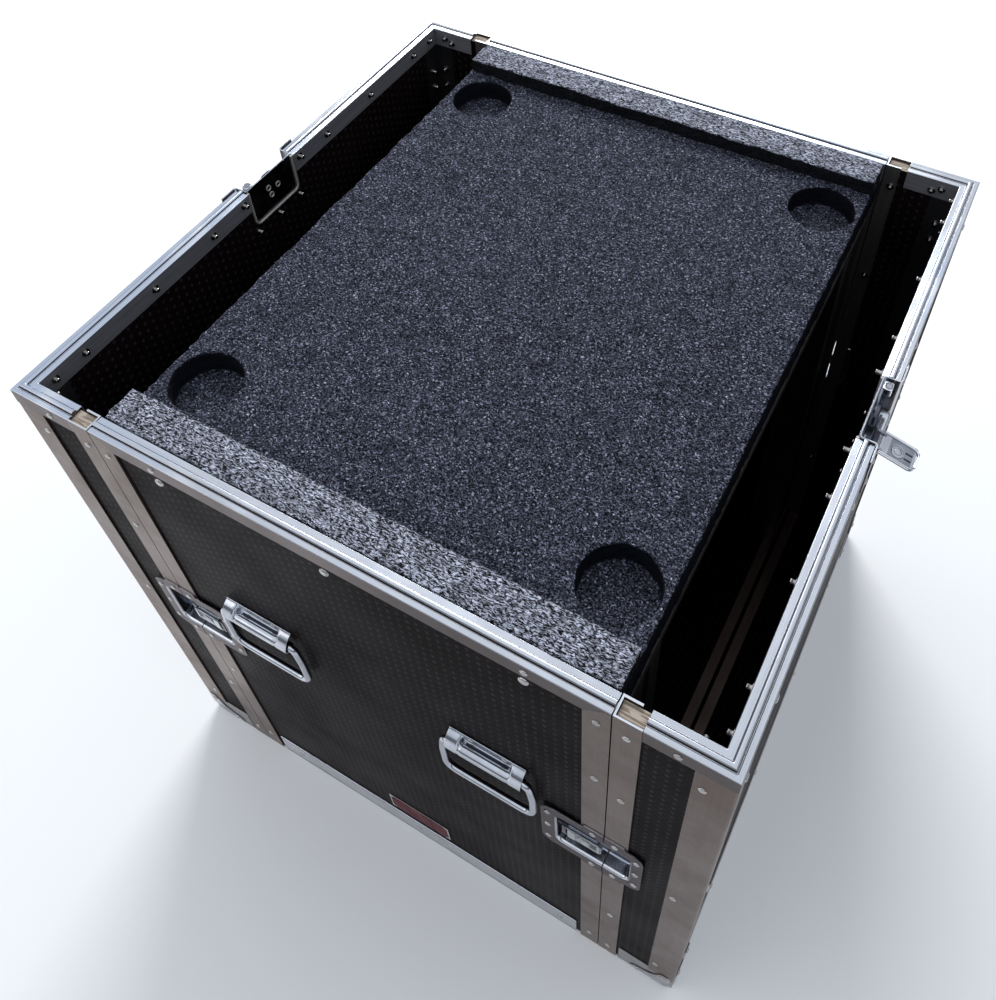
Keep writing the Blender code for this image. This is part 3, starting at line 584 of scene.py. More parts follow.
def relief(p, cell, seed):
    """Smooth value noise from -0.5 to 0.5 at points p, with lattice cells of the given size."""
    q = p / np.asarray(cell)
    i = np.floor(q).astype(np.int64)
    f = q - i
    f = f * f * (3.0 - 2.0 * f)
    out = np.zeros(len(p))
    for dx in (0, 1):
        for dy in (0, 1):
            for dz in (0, 1):
                wgt = np.ones(len(p))
                for k, d in enumerate((dx, dy, dz)):
                    wgt = wgt * (f[:, k] if d else 1.0 - f[:, k])
                out += wgt * lattice(i[:, 0] + dx, i[:, 1] + dy, i[:, 2] + dz, seed)
    return out - 0.5


def push(me, layers):
    """Move a mesh's points along their normals by the sum of the noise layers (cell, seed, height)."""
    n = len(me.vertices)
    co, no = np.zeros(n * 3, np.float32), np.zeros(n * 3, np.float32)
    me.vertices.foreach_get("co", co)
    me.vertices.foreach_get("normal", no)
    co, no = co.reshape(-1, 3).astype(float), no.reshape(-1, 3).astype(float)
    d = sum(relief(co, cell, seed) * height for cell, seed, height in layers)
    co += no * d[:, None]
    me.vertices.foreach_set("co", co.astype(np.float32).ravel())
    me.update()


def revolve(bm, at, n, profile, seg=16):
    """Add a turned, closed shape: profile of (radius, height) from its foot to its crown."""
    n = Vector(n).normalized()
    t = Vector((0, 0, 1)) if abs(n.z) < 0.9 else Vector((1, 0, 0))
    t1 = n.cross(t).normalized()
    t2 = n.cross(t1)
    at = Vector(at)
    rings = []
    for r, h in profile:
        if r < 1e-6:
            rings.append([bm.verts.new(at + n * h)])
        else:
            rings.append([bm.verts.new(at + n * h + (t1 * math.cos(2 * math.pi * k / seg)
                                                     + t2 * math.sin(2 * math.pi * k / seg)) * r) for k in range(seg)])
    faces = [bm.faces.new(rings[0])]
    for a, b in zip(rings, rings[1:]):
        for k in range(seg):
            j = (k + 1) % seg
            if len(b) == 1:
                faces.append(bm.faces.new((a[k], a[j], b[0])))
            else:
                faces.append(bm.faces.new((a[k], a[j], b[j], b[k])))
    return faces


def dome(r, h):
    return [(r, -0.0004), (r, 0.0), (0.985 * r, 0.25 * h), (0.90 * r, 0.56 * h), (0.72 * r, 0.82 * h),
            (0.45 * r, 0.96 * h), (0.0, h)]


def tail(r=0.0032, h=0.0045):
    """Clenched end of a rivet on a washer."""
    return [(r * 1.25, -0.0003), (r * 1.25, 0.0007), (r * 1.1, 0.0010), (r * 0.62, 0.0011), (r * 0.60, h - 0.0012),
            (r * 0.70, h - 0.0008), (r * 0.62, h - 0.0002), (r * 0.30, h), (0.0, h - 0.0004)]


def studs(name, body, slot, mat, items):
    """One piece of rivets: items are (place, outward direction, profile)."""
    bm = bmesh.new()
    for at, n, prof in items:
        revolve(bm, at, n, prof)
    bmesh.ops.recalc_face_normals(bm, faces=bm.faces)
    me = bpy.data.meshes.new(name)
    bm.to_mesh(me)
    bm.free()
    shade(me, 50.0)
    return add(name, me, body, mat, slot)


# ---------------------------------------------------------------- plain members, finely edged
for face, s in FACES:
    refined(face + "_side_panel", "laminate", 0.0004)
    refined(face + "_rim_extrusion", "rim", 0.00025)
refined("floor_panel", "laminate", 0.0004)
refined("foam_tray_carcass", "wood", 0.0006)
for side, sx in SIDES:
    refined(side + "_body_seam_frame", "strip", 0.00025)
    refined(side + "_cover_seam_frame", "strip", 0.00025)
    refined(side + "_cover_shell", "laminate", 0.0004)
    refined(side + "_lid_latch_spindle", "dark_zinc", 0.0003)
    for face, s in FACES:
        refined("%s_cover_%s_rim" % (side, face), "rim", 0.00025)
        refined("%s_%s_rack_rail" % (face, side), "rail", 0.0003)
        refined("%s_%s_latch_spindle" % (face, side), "dark_zinc", 0.0003)

# ---------------------------------------------------------------- ribbed bottom edging and corner uprights
RIBBED = [(0.0, 0.0006), (0.0, 0.0052)]
for k in range(9):
    z0 = 0.0052 + 0.0038 * k
    RIBBED += [(-0.00055, z0 + 0.0004), (-0.00055, z0 + 0.0013), (0.0, z0 + 0.0017), (0.0, z0 + 0.0036)]
RIBBED += [(0.0, SKIRT_H - 0.0010), (-0.0004, SKIRT_H - 0.0003), (-0.0009, SKIRT_H), (-0.0015, SKIRT_H - 0.0004),
           (-0.0015, 0.0015), (-0.0280, 0.0015), (-0.0280, 0.0), (-0.0006, 0.0)]
for face, s in FACES:
    me = swept(face + "_ribbed_edging", [(-0.2090, s * HALF_D, BASE), (0.2098, s * HALF_D, BASE)], RIBBED,
               (0, 0, 1), -s)
    ob = add(face + "_ribbed_edging", me, "case_body", "strip_x", "rim_aluminium", face + "_bottom_angle")
    edged(ob, 0.00012, 1)
for side, sx in SIDES:
    node = side + "_cover_edge_angles"
    body = side + "_cover"
    me = swept(side + "_ribbed_edging",
               [(sx * (SEAM + STRIP_W + 0.0030), -HALF_D, BASE), (sx * HALF_W, -HALF_D, BASE),
                (sx * HALF_W, HALF_D, BASE), (sx * (SEAM + STRIP_W + 0.0030), HALF_D, BASE)],
               [(a - 0.0002, b) for a, b in RIBBED], (0, 0, 1), sx)
    edged(add(side + "_ribbed_edging", me, body, "skirt_rib", "seam_aluminium", node), 0.00012, 1)
    for face, s in FACES:
        L, t, r = ANGLE_W, 0.0015, 0.0026
        sec = [(L, 0.0), (L, t), (t + 0.0004, t), (t, t + 0.0004), (t, L), (0.0, L)]
        sec += [(r - r * math.sin(a), r - r * math.cos(a)) for a in
                [math.radians(90 - 90 * k / 6) for k in range(7)]]
        me = prism("%s_%s_upright" % (side, face), [(sx * (HALF_W - p), s * (HALF_D - q)) for p, q in sec],
                   lambda a, b, c: Vector((a, b, c)), BASE + 0.0400, TOP - RIM_DROP - GAP)
        edged(add("%s_%s_upright" % (side, face), me, body, "strip", "seam_aluminium", node), 0.00025)

        # inner corner angle of the cover
        xi, yi = HALF_W - 0.0144 - GAP, HALF_D - 0.0144 - GAP
        sec = [(0, 0), (0.024, 0), (0.024, 0.0012), (0.0012, 0.0012), (0.0012, 0.024), (0, 0.024)]
        me = prism("%s_%s_inner_angle" % (side, face), [(sx * (xi - p), s * (yi - q)) for p, q in sec],
                   lambda a, b, c: Vector((a, b, c)), 0.0200, TOP - 0.0256)
        edged(add("%s_%s_inner_angle" % (side, face), me, body, "inner", "seam_aluminium"), 0.0003)


# ---------------------------------------------------------------- steel corners
def rounded_cube(lo, hi, r, seg):
    bm = bmesh.new()
    bmesh.ops.create_cube(bm, size=1.0)
    for v in bm.verts:
        v.co = Vector([lo[k] + (v.co[k] + 0.5) * (hi[k] - lo[k]) for k in range(3)])
    bmesh.ops.bevel(bm, geom=list(bm.edges) + list(bm.verts), offset=r, segments=seg, profile=0.5, affect="EDGES")
    bmesh.ops.recalc_face_normals(bm, faces=bm.faces)
    me = bpy.data.meshes.new("r")
    bm.to_mesh(me)
    bm.free()
    return me


def cube(lo, hi):
    v = [(x, y, z) for x in (lo[0], hi[0]) for y in (lo[1], hi[1]) for z in (lo[2], hi[2])]
    return poly_mesh("c", v, [(0, 1, 3, 2), (4, 6, 7, 5), (0, 4, 5, 1), (2, 3, 7, 6), (0, 2, 6, 4), (1, 5, 7, 3)])


for side, sx in SIDES:
    for face, s in FACES:
        a = (sx * HALF_W, s * HALF_D, BASE)
        lo = [min(sx * (HALF_W + 0.003), sx * (HALF_W - 0.0125)), min(s * (HALF_D + 0.003), s * (HALF_D - 0.0125)),
              BASE - 0.003]
        hi = [max(sx * (HALF_W + 0.003), sx * (HALF_W - 0.0125)), max(s * (HALF_D + 0.003), s * (HALF_D - 0.0125)),
              BASE + 0.0125]
        block = bpy.data.objects.new("block", cube(lo, hi))
        bpy.context.scene.collection.objects.link(block)
        lo = [min(sx * (HALF_W - 0.0001), sx * 0.20), min(s * (HALF_D - 0.0001), s * 0.20), BASE + 0.0001]
        hi = [max(sx * (HALF_W - 0.0001), sx * 0.20), max(s * (HALF_D - 0.0001), s * 0.20), 0.15]
        boolean(block, [rounded_cube(lo, hi, 0.0090, 6)])
        boolean(bpy.data.objects[side + "_ribbed_edging"], [block.data])
        bpy.data.objects.remove(block, do_unlink=True)

REACH = 0.0500
LOBE = 0.0085
scallop = [(REACH + 0.006, 0.0045), (REACH + 0.0005, 0.0045)]
scallop += [(REACH - LOBE + LOBE * math.cos(a), LOBE + 0.0005 + LOBE * math.sin(a)) for a in
            [math.radians(90 * k / 6) for k in range(1, 7)]]
c0 = REACH - LOBE
rad = math.hypot(REACH - c0, REACH - 2 * LOBE - 0.0005)
a0 = math.atan2(2 * LOBE + 0.0005 - REACH, c0 - REACH)
a1 = math.atan2(c0 - REACH, 2 * LOBE + 0.0005 - REACH)
a0, a1 = a0 % (2 * math.pi), a1 % (2 * math.pi)
scallop += [(REACH + rad * math.cos(a0 + (a1 - a0) * k / 10), REACH + rad * math.sin(a0 + (a1 - a0) * k / 10))
            for k in range(1, 10)]
scallop += [(LOBE + 0.0005 + LOBE * math.cos(a), REACH - LOBE + LOBE * math.sin(a)) for a in
            [math.radians(90 * k / 6) for k in range(0, 6)]][::1]
scallop += [(0.0045, REACH + 0.0005), (0.0045, REACH + 0.006), (REACH + 0.006, REACH + 0.006)]

for side, sx in SIDES:
    for face, s in FACES:
        def put(p, q, h, sx=sx, s=s):
            """Distances inwards from the corner's outer planes to a place."""
            return Vector((sx * (HALF_W - p), s * (HALF_D - q), BASE + h))

        def span(a, b):
            p, q = put(a, a, a), put(b, b, b)
            return [min(c) for c in zip(p, q)], [max(c) for c in zip(p, q)]

        outer = rounded_cube(*span(-0.0012, 0.09), 0.0100, 7)
        ob = add("%s_%s_pressed_corner" % (side, face), outer, side + "_cover", "corner", "corner_steel",
                 "%s_%s_steel_corner" % (side, face))
        boolean(ob, [cube(*span(-0.004, REACH))], "INTERSECT")
        cuts = [rounded_cube(*span(-0.0003, 0.095), 0.0091, 7)]
        cuts.append(prism("k", scallop, lambda a, b, c: put(a, c, b), -0.01, 0.055))
        cuts.append(prism("k", scallop, lambda a, b, c: put(c, a, b), -0.01, 0.055))
        cuts.append(prism("k", scallop, lambda a, b, c: put(a, b, c), -0.01, 0.055))
        boolean(ob, cuts)
        edged(ob, 0.00030, 2, 35.0)
        e, o = 0.0092, REACH - 0.0092
        at = [(put(o, -0.0012, e + 0.004), (0, s, 0)), (put(e + 0.003, -0.0012, o), (0, s, 0)),
              (put(-0.0012, o, e + 0.004), (sx, 0, 0)), (put(-0.0012, e + 0.003, o), (sx, 0, 0))]
        studs("%s_%s_corner_rivets" % (side, face), side + "_cover", "corner_steel", "rivet",
              [(p, n, dome(0.0031, 0.0014)) for p, n in at])


# ---------------------------------------------------------------- latches
def ray_ring(outline, centre, count):
    """Where rays from a centre meet a closed outline, at even angles."""
    out = []
    m = len(outline)
    for k in range(count):
        a = 2 * math.pi * (k + 0.5) / count
        dx, dy = math.cos(a), math.sin(a)
        best = 0.0
        for i in range(m):
            ax, ay = outline[i][0] - centre[0], outline[i][1] - centre[1]
            bx, by = outline[(i + 1) % m][0] - centre[0], outline[(i + 1) % m][1] - centre[1]
            ex, ey = bx - ax, by - ay
            det = dx * ey - dy * ex
            if abs(det) < 1e-12:
                continue
            t = (ax * ey - ay * ex) / det
            w = (ax * dy - ay * dx) / det
            if t > 0 and -1e-9 <= w <= 1 + 1e-9:
                best = max(best, t)
        out.append((centre[0] + dx * best, centre[1] + dy * best))
    return out


def pressed_dish(node, spot, strike, name):
    """A latch half pressed from sheet: a flange, a wide rolled lip, drawn walls and a floor. Millimetres."""
    sgn = -1.0 if strike else 1.0
    reach, deep, half = (37.5, 26.0, 48.5) if strike else (61.5, 47.0, 48.5)
    centre = (6.0, 0.0) if strike else (18.0, 0.0)
    r, tab = 13.0, 54.0
    edge = [(-18.0, -tab), (17.5, -tab)]
    edge += [(17.5 + 3.0 * math.sin(a), -tab + 3.0 - 3.0 * math.cos(a)) for a in (0.5, 1.1, 1.57)]
    edge += [(20.6, -half)]
    edge += [(reach - r + r * math.sin(a), -half + r - r * math.cos(a)) for a in [math.pi / 2 * k / 8 for k in range(9)]]
    edge += [(a, -b) for a, b in reversed(edge)]
    rings = [(edge, 1.5)]

    def pocket(inset):
        q = 8.5 - inset
        return round_rect(-16.0, -35.0 + inset, deep - inset, 35.0 - inset, q, 6)

    rings.append((pocket(-3.1), 1.5))
    for k in range(0, 7):
        a = math.radians(15 * k)
        rings.append((pocket(-2.2 + 3.4 * math.sin(a)), -1.9 + 3.4 * math.cos(a)))
    rings.append((pocket(1.35), -10.9))
    for k in range(1, 6):
        a = math.radians(18 * k)
        rings.append((pocket(3.75 - 2.4 * math.cos(a)), -10.9 - 2.4 * math.sin(a)))
    count = 144
    verts, faces = [], []
    for outline, n in rings:
        for u, v in ray_ring(outline, centre, count):
            verts.append(spot.at(sgn * u / 1000.0, v / 1000.0, n / 1000.0))
    for k in range(len(rings) - 1):
        for i in range(count):
            j = (i + 1) % count
            faces.append((k * count + i, k * count + j, (k + 1) * count + j, (k + 1) * count + i))
    faces.append(tuple(range((len(rings) - 1) * count, len(rings) * count)))
    me = bpy.data.meshes.new(name)
    me.from_pydata([tuple(v) for v in verts], [], faces)
    me.update()
    if me.polygons[0].normal.dot(spot.n) < 0:
        me.flip_normals()
    ob = add(name, me, BODY_OF[node], "zinc", SLOT_OF[node], node)
    m = ob.modifiers.new("t", "SOLIDIFY")
    m.thickness, m.offset = 0.0012, -1.0
    bake(ob)
    a, b = sorted((sgn * 0.0005, sgn * 0.0800))
    keep = prism("k", [(a, -0.08), (b, -0.08), (b, 0.08), (a, 0.08)], spot.at, -0.03, 0.02)
    boolean(ob, [keep], "INTERSECT")
    return edged(ob, 0.00045, 3, 50.0, 35.0)


def key_plate(node, spot, angle, name):
    """Folding key: the CAD tray with its boss, ring, slots and hinge plate."""
    bm = bmesh.new()
    bm.from_mesh(frame["nodes"][node].data)
    bmesh.ops.remove_doubles(bm, verts=bm.verts, dist=2e-5)
    bmesh.ops.dissolve_limit(bm, angle_limit=math.radians(0.8), verts=bm.verts, edges=bm.edges, delimit={"NORMAL"})
    me = bpy.data.meshes.new(name)
    bm.to_mesh(me)
    bm.free()
    ob = add(name, me, BODY_OF[node], "key", SLOT_OF[node], node)
    pin = spot.at(WING_PIN_U, 0.0, WING_PIN_N)
    turn = Matrix.Translation(pin) @ Matrix.Rotation(math.radians(angle), 4, spot.v) @ Matrix.Translation(-pin)

    def place(u, v, n):
        return turn @ spot.at(u, v, n)

    # the tray's free end is rounded
    free, r = SPINDLE_U - 0.0195, 0.0060
    curve = [(free + r - r * math.cos(k), 0.0115 - r + r * math.sin(k)) for k in [math.pi / 20 * j for j in range(11)]]
    for sgn in (-1, 1):
        wedge = [(free - 0.004, 0.0115 - r)] + curve + [(free + r, 0.018), (free - 0.004, 0.018)]
        boolean(ob, [prism("w", [(u, sgn * v) for u, v in wedge], place, -0.012, 0.012)])
    edged(ob, 0.00035, 3, 30.0)
    bm = bmesh.new()
    nrm = (turn.to_3x3() @ spot.n)
    c = SPINDLE_U - 0.0020
    for level, sgn in ((-0.0018, -1), (-0.0006, 1)):
        base = place(c, 0.0, level)
        d = nrm * sgn
        revolve(bm, base, d, [(0.0062, -0.0003), (0.0062, 0.0006), (0.0057, 0.0010), (0.0050, 0.0010), (0.0046, 0.0003),
                              (0.0037, 0.0003), (0.0034, 0.0009), (0.0026, 0.0013), (0.0013, 0.0015), (0.0, 0.0015)], 28)
        lo, hi = sorted((level - sgn * 0.0003, level + sgn * 0.0008))
        part = prism("h", round_rect(c + 0.0082, -0.0092, WING_PIN_U - 0.0042, 0.0096, 0.0012, 3), place, lo, hi)
        bm.from_mesh(part)
        lo, hi = sorted((level - sgn * 0.0003, level + sgn * 0.0005))
        part = prism("e", round_rect(0.0042, -0.0088, 0.0068, 0.0088, 0.0012, 3), place, lo, hi)
        bm.from_mesh(part)
    bmesh.ops.recalc_face_normals(bm, faces=bm.faces)
    me = bpy.data.meshes.new(name + "_detail")
    bm.to_mesh(me)
    bm.free()
    shade(me, 35.0)
    add(name + "_detail", me, BODY_OF[node], "key_boss", SLOT_OF[node])
    # two slots as thin dark prisms in the shaded recess colour: painted shade in place of cut slots
    bm = bmesh.new()
    for level, sgn in ((-0.0018, -1), (-0.0006, 1)):
        for v0 in (-0.0030, 0.0030):
            lo, hi = sorted((level - sgn * 0.0003, level + sgn * 0.0003))
            bm.from_mesh(prism("r", round_rect(c - 0.0128, v0 - 0.0007, c - 0.0062, v0 + 0.0007, 0.0007, 3), place, lo, hi))
    bmesh.ops.recalc_face_normals(bm, faces=bm.faces)
    me = bpy.data.meshes.new(name + "_slots")
    bm.to_mesh(me)
    bm.free()
    shade(me, 35.0)
    add(name + "_slots", me, BODY_OF[node], "recess", SLOT_OF[node])
    # rolled rims on the tray's long sides and free end, in a pale zinc as painted highlight
    w, u0, u1 = 0.0105, SPINDLE_U - 0.0186, WING_PIN_U - 0.0042
    r = 0.0055
    path = [(u1, -w)] + [(u0 + r - r * math.sin(a), -w + r - r * math.cos(a)) for a in
                         [math.pi / 2 * k / 6 for k in range(7)]]
    path += [(a, -b) for a, b in reversed(path)]
    prof = [(-0.0010, -0.0010), (-0.0010, -0.0034), (-0.0006, -0.0040), (0.0, -0.0043), (0.0006, -0.0040),
            (0.0010, -0.0034), (0.0010, -0.0010)]
    rings = []
    for i, (pu, pv) in enumerate(path):
        a, b = path[max(i - 1, 0)], path[min(i + 1, len(path) - 1)]
        du, dv = b[0] - a[0], b[1] - a[1]
        q = math.hypot(du, dv)
        nu, nv = -dv / q, du / q
        rings.append([place(pu + nu * o, pv + nv * o, lv) for o, lv in prof])
    n = len(prof)
    verts = [v for k in rings for v in k]
    faces = [tuple(range(n)), tuple(range(len(verts) - 1, len(verts) - n - 1, -1))]
    for k in range(len(rings) - 1):
        for i in range(n):
            j = (i + 1) % n
            faces.append((k * n + i, k * n + j, (k + 1) * n + j, (k + 1) * n + i))
    me = poly_mesh(name + "_rims", verts, faces)
    shade(me, 40.0)
    add(name + "_rims", me, BODY_OF[node], "key_highlight", SLOT_OF[node])
    return ob


def latch_rivets(spot, strike, lid):
    end = -0.0312 if strike else 0.0548
    tab = -0.0105 if strike else 0.0105
    items = [(spot.at(end, v, GAP + LATCH_T), spot.n, dome(0.0031, 0.0013)) for v in (-0.0335, 0.0, 0.0335)]
    items += [(spot.at(tab, v, GAP + LATCH_T), spot.n, dome(0.0031, 0.0013)) for v in (-0.0445, 0.0445)]
    return items


for face, s in FACES:
    for side, sx in SIDES:
        k = face + "_" + side
        spot = SPOTS[k]
        pressed_dish(k + "_latch_dish", spot, False, k + "_pressed_dish")
        pressed_dish(k + "_latch_strike", spot, True, k + "_pressed_strike")
        key_plate(k + "_latch_wing", spot, 0.0, k + "_key_plate")
        studs(k + "_dish_rivets", "case_body", "zinc", "rivet", latch_rivets(spot, False, False))
        studs(k + "_strike_rivets", side + "_cover", "zinc", "rivet", latch_rivets(spot, True, False))
for side, sx in SIDES:
    spot = SPOTS["lid_" + side]
    pressed_dish(side + "_lid_latch_dish", spot, False, side + "_lid_pressed_dish")
    key_plate(side + "_lid_latch_wing", spot, 106.0, side + "_lid_key_plate")
    studs(side + "_lid_dish_rivets", side + "_cover", "zinc", "rivet", latch_rivets(spot, False, True))


for side, sx in SIDES:
    spot = SPOTS["lid_" + side]
    body = side + "_cover"
    # rolled bead around the back of the drawn pocket, on the cover's inner face
    path = [(0.0262, -0.0338)]
    path = [(0.0030, -0.0338), (0.0200, -0.0338), (0.0400, -0.0338)]
    path += [(0.0400 + 0.0062 * math.sin(a), -0.0338 + 0.0062 * (1 - math.cos(a))) for a in
             [math.pi / 2 * k / 6 for k in range(1, 7)]]
    path += [(0.0462, -0.0150), (0.0462, 0.0)]
    path += [(a, -b) for a, b in reversed(path[:-1])]
    bm = bmesh.new()
    rings = []
    for i, (pu, pv) in enumerate(path):
        a, b = path[max(i - 1, 0)], path[min(i + 1, len(path) - 1)]
        du, dv = b[0] - a[0], b[1] - a[1]
        q = math.hypot(du, dv)
        nu, nv = -dv / q, du / q
        rings.append([bm.verts.new(spot.at(pu + nu * 0.0014 * math.cos(t), pv + nv * 0.0014 * math.cos(t),
                                           -0.0151 + 0.0014 * math.sin(t)))
                      for t in [2 * math.pi * k / 10 for k in range(10)]])
    for a, b in zip(rings, rings[1:]):
        for k in range(10):
            bm.faces.new((a[k], a[(k + 1) % 10], b[(k + 1) % 10], b[k]))
    bm.faces.new(rings[0])
    bm.faces.new(rings[-1][::-1])
    # embossed rings on the back of the pocket
    for u, v in ((0.0170, 0.0060), (0.0215, -0.0075), (0.0270, 0.0040)):
        revolve(bm, spot.at(u, v, -0.01445), -spot.n, [(0.0034, -0.0002), (0.0034, 0.0006), (0.0029, 0.0010),
                                                        (0.0023, 0.0006), (0.0020, -0.0003)], 20)
    bmesh.ops.recalc_face_normals(bm, faces=bm.faces)
    me = bpy.data.meshes.new(side + "_lid_dish_back")
    bm.to_mesh(me)
    bm.free()
    shade(me, 50.0)
    add(side + "_lid_dish_back", me, body, "bead", "zinc")
    studs(side + "_lid_dish_tails", body, "zinc", "rivet",
          [(spot.at(0.0548, v, -0.0144), -spot.n, tail(0.0034, 0.0055)) for v in (-0.0335, 0.0, 0.0335)]
          + [(spot.at(0.0100, v, -0.0165), -spot.n, tail(0.0034, 0.0060)) for v in (-0.0440, 0.0440)])
    # guide lug with its dimple, at the top of the pocket; the lug is in the pale zinc as painted sheen
    me = prism(side + "_lid_lug", round_rect(0.0215, -0.0115, 0.0305, -0.0040, 0.0015, 3),
               lambda a, b, c: spot.at(c, a, b), 0.0012, 0.0090)
    ob = edged(add(side + "_lid_lug", me, body, "key_highlight", "zinc"), 0.0006, 3)
    bm = bmesh.new()
    revolve(bm, spot.at(0.0012, 0.0262, -0.0074), -spot.u, [(0.0036, -0.0002), (0.0036, 0.0004), (0.0032, 0.0007),
                                                            (0.0027, 0.0005), (0.0024, 0.0001), (0.0, 0.0001)], 24)
    me = bpy.data.meshes.new(side + "_lid_dimple")
    bm.to_mesh(me)
    bm.free()
    shade(me, 50.0)
    add(side + "_lid_dimple", me, body, "key", "zinc")


# ---------------------------------------------------------------- handles
def resample(pts, n):
    pts = [Vector((a, b, 0)) for a, b in pts]
    cum = [0.0]
    for a, b in zip(pts, pts[1:]):
        cum.append(cum[-1] + (b - a).length)
    out = []
    j = 0
    for k in range(n):
        t = cum[-1] * k / (n - 1)
        while j < len(pts) - 2 and cum[j + 1] < t:
            j += 1
        f = (t - cum[j]) / max(cum[j + 1] - cum[j], 1e-9)
        out.append(pts[j].lerp(pts[j + 1], min(max(f, 0.0), 1.0)))
    return out


def ring(a0, a1, n, r=6.3, cn=7.0):
    return [(cn + r * math.cos(math.radians(a0 + (a1 - a0) * k / n)), r * math.sin(math.radians(a0 + (a1 - a0) * k / n)))
            for k in range(n + 1)]


MIDDLE = [(1.35, 17.1), (1.35, 12.0), (1.35, 9.9), (1.0, 9.2), (0.75, 8.4), (0.72, 6.2), (0.9, 5.1), (1.5, 4.6)]
MIDDLE += ring(130, -118, 22)
SADDLE = [(1.35, 17.1), (1.35, 16.0), (1.8, 15.3), (3.0, 14.6), (4.9, 13.6), (6.9, 12.1), (8.8, 10.1), (10.4, 7.8),
          (11.6, 5.4), (12.5, 3.0)]
SADDLE += ring(12, -150, 18)
for face, s in FACES:
    for side, hx in zip(("left", "right"), HANDLE_X):
        k = face + "_" + side
        y_face = s * (HALF_D - PLY_OUT + GAP)
        cz = 0.4515
        n = 44
        mid, end = resample(MIDDLE, n), resample(SADDLE, n)
        xs = [-0.03775, -0.0374, -0.0360, -0.0335, -0.0310, -0.0285, -0.0270, -0.0260, -0.0252, -0.0244, -0.0236,
              -0.0228, -0.0220, -0.0205, -0.0150, -0.0075, 0.0]
        xs += [-v for v in reversed(xs[:-1])]
        verts, faces = [], []
        for x in xs:
            t = (abs(x) - 0.0222) / 0.0046
            t = min(max(t, 0.0), 1.0)
            t = t * t * (3 - 2 * t)
            for a, b in zip(mid, end):
                p = a.lerp(b, t)
                verts.append(Vector((hx + x, y_face + s * p.x / 1000.0, cz + p.y / 1000.0)))
        for i in range(len(xs) - 1):
            for j in range(n - 1):
                f = (i * n + j, i * n + j + 1, (i + 1) * n + j + 1, (i + 1) * n + j)
                faces.append(f if s < 0 else f[::-1])
        me = bpy.data.meshes.new(k + "_pressed_plate")
        me.from_pydata([tuple(v) for v in verts], [], faces)
        me.update()
        # the flange's face looks outwards
        if me.polygons[0].normal.y * s < 0:
            me.flip_normals()
        ob = add(k + "_pressed_plate", me, "case_body", "chrome", "chrome", k + "_handle_plate")
        m = ob.modifiers.new("t", "SOLIDIFY")
        m.thickness, m.offset, m.use_even_offset = 0.0011, -1.0, True
        bake(ob)
        edged(ob, 0.00025, 2, 50.0, 50.0)
        # a dark sheet laid in the plate's middle band, as painted shade of its recess
        me = prism(k + "_handle_painted_recess_shade", round_rect(hx - 0.0214, cz + 0.0052, hx + 0.0214, cz + 0.0094, 0.0018, 4),
                   lambda a, b, c: Vector((a, y_face + s * c, b)), 0.0005, 0.00092)
        edged(add(k + "_handle_painted_recess_shade", me, "case_body", "recess", "chrome"), 0.00015, 2)
        me = prism(k + "_handle_bead", round_rect(hx - 0.0360, cz + 0.0151, hx + 0.0360, cz + 0.0160, 0.0004, 3),
                   lambda a, b, c: Vector((a, y_face + s * c, b)), 0.0011, 0.0019)
        edged(add(k + "_handle_bead", me, "case_body", "chrome", "chrome"), 0.0003, 3)
        studs(k + "_handle_rivets", "case_body", "chrome", "rivet",
              [(Vector((hx + dx, y_face + s * 0.00135, cz + 0.0128)), (0, s, 0), dome(0.0030, 0.0013))
               for dx in (-0.0168, 0.0168)])

        # the bail: a bent round rod
        half, neck = 0.0980 / 2 - 0.0035, 0.0755 / 2 + 0.0016 + 0.0035
        low = -0.0695

        def arc(cx, cy, r, a0, a1, n):
            return [(cx + r * math.cos(math.radians(a0 + (a1 - a0) * q / n)),
                     cy + r * math.sin(math.radians(a0 + (a1 - a0) * q / n))) for q in range(n + 1)]

        path = [(neck - 0.0160, 0.0), (neck - 0.0100, 0.0)] + arc(neck - 0.0045, -0.0045, 0.0045, 90, 0, 8)
        path += [(neck + (half - neck) * q / 6.0, -0.0045 - 0.0215 * q / 6.0) for q in range(1, 6)]
        path += [(half, -0.0260), (half, -0.0360), (half, -0.0470)]
        path += arc(half - 0.0110, low + 0.0110, 0.0110, 0, -90, 10)
        path += [(half - 0.0110 - (half - 0.0110) * q / 6.0, low) for q in range(1, 6)]
        path = path + [(0.0, low)] + [(-a, b) for a, b in reversed(path)]
        pts = resample(path, 150)
        for _ in range(10):
            pts = [pts[0]] + [(pts[i - 1] + pts[i] * 2 + pts[i + 1]) / 4 for i in range(1, len(pts) - 1)] + [pts[-1]]
        cu = bpy.data.curves.new(k + "_bent_rod", "CURVE")
        cu.dimensions = "3D"
        cu.bevel_depth, cu.bevel_resolution, cu.use_fill_caps = 0.0035, 6, True
        sp = cu.splines.new("POLY")
        sp.points.add(len(pts) - 1)
        for q, p in zip(sp.points, pts):
            q.co = (hx + p.x, y_face + s * 0.0070, cz + p.y, 1.0)
        tmp = bpy.data.objects.new("rod", cu)
        scene_c = bpy.context.scene.collection
        scene_c.objects.link(tmp)
        dg = bpy.context.evaluated_depsgraph_get()
        dg.update()
        me = bpy.data.meshes.new_from_object(tmp.evaluated_get(dg))
        bpy.data.objects.remove(tmp, do_unlink=True)
        shade(me, 50.0)
        me.name = k + "_bent_rod"
        add(k + "_bent_rod", me, k + "_handle", "chrome", "chrome", k + "_handle_bail")

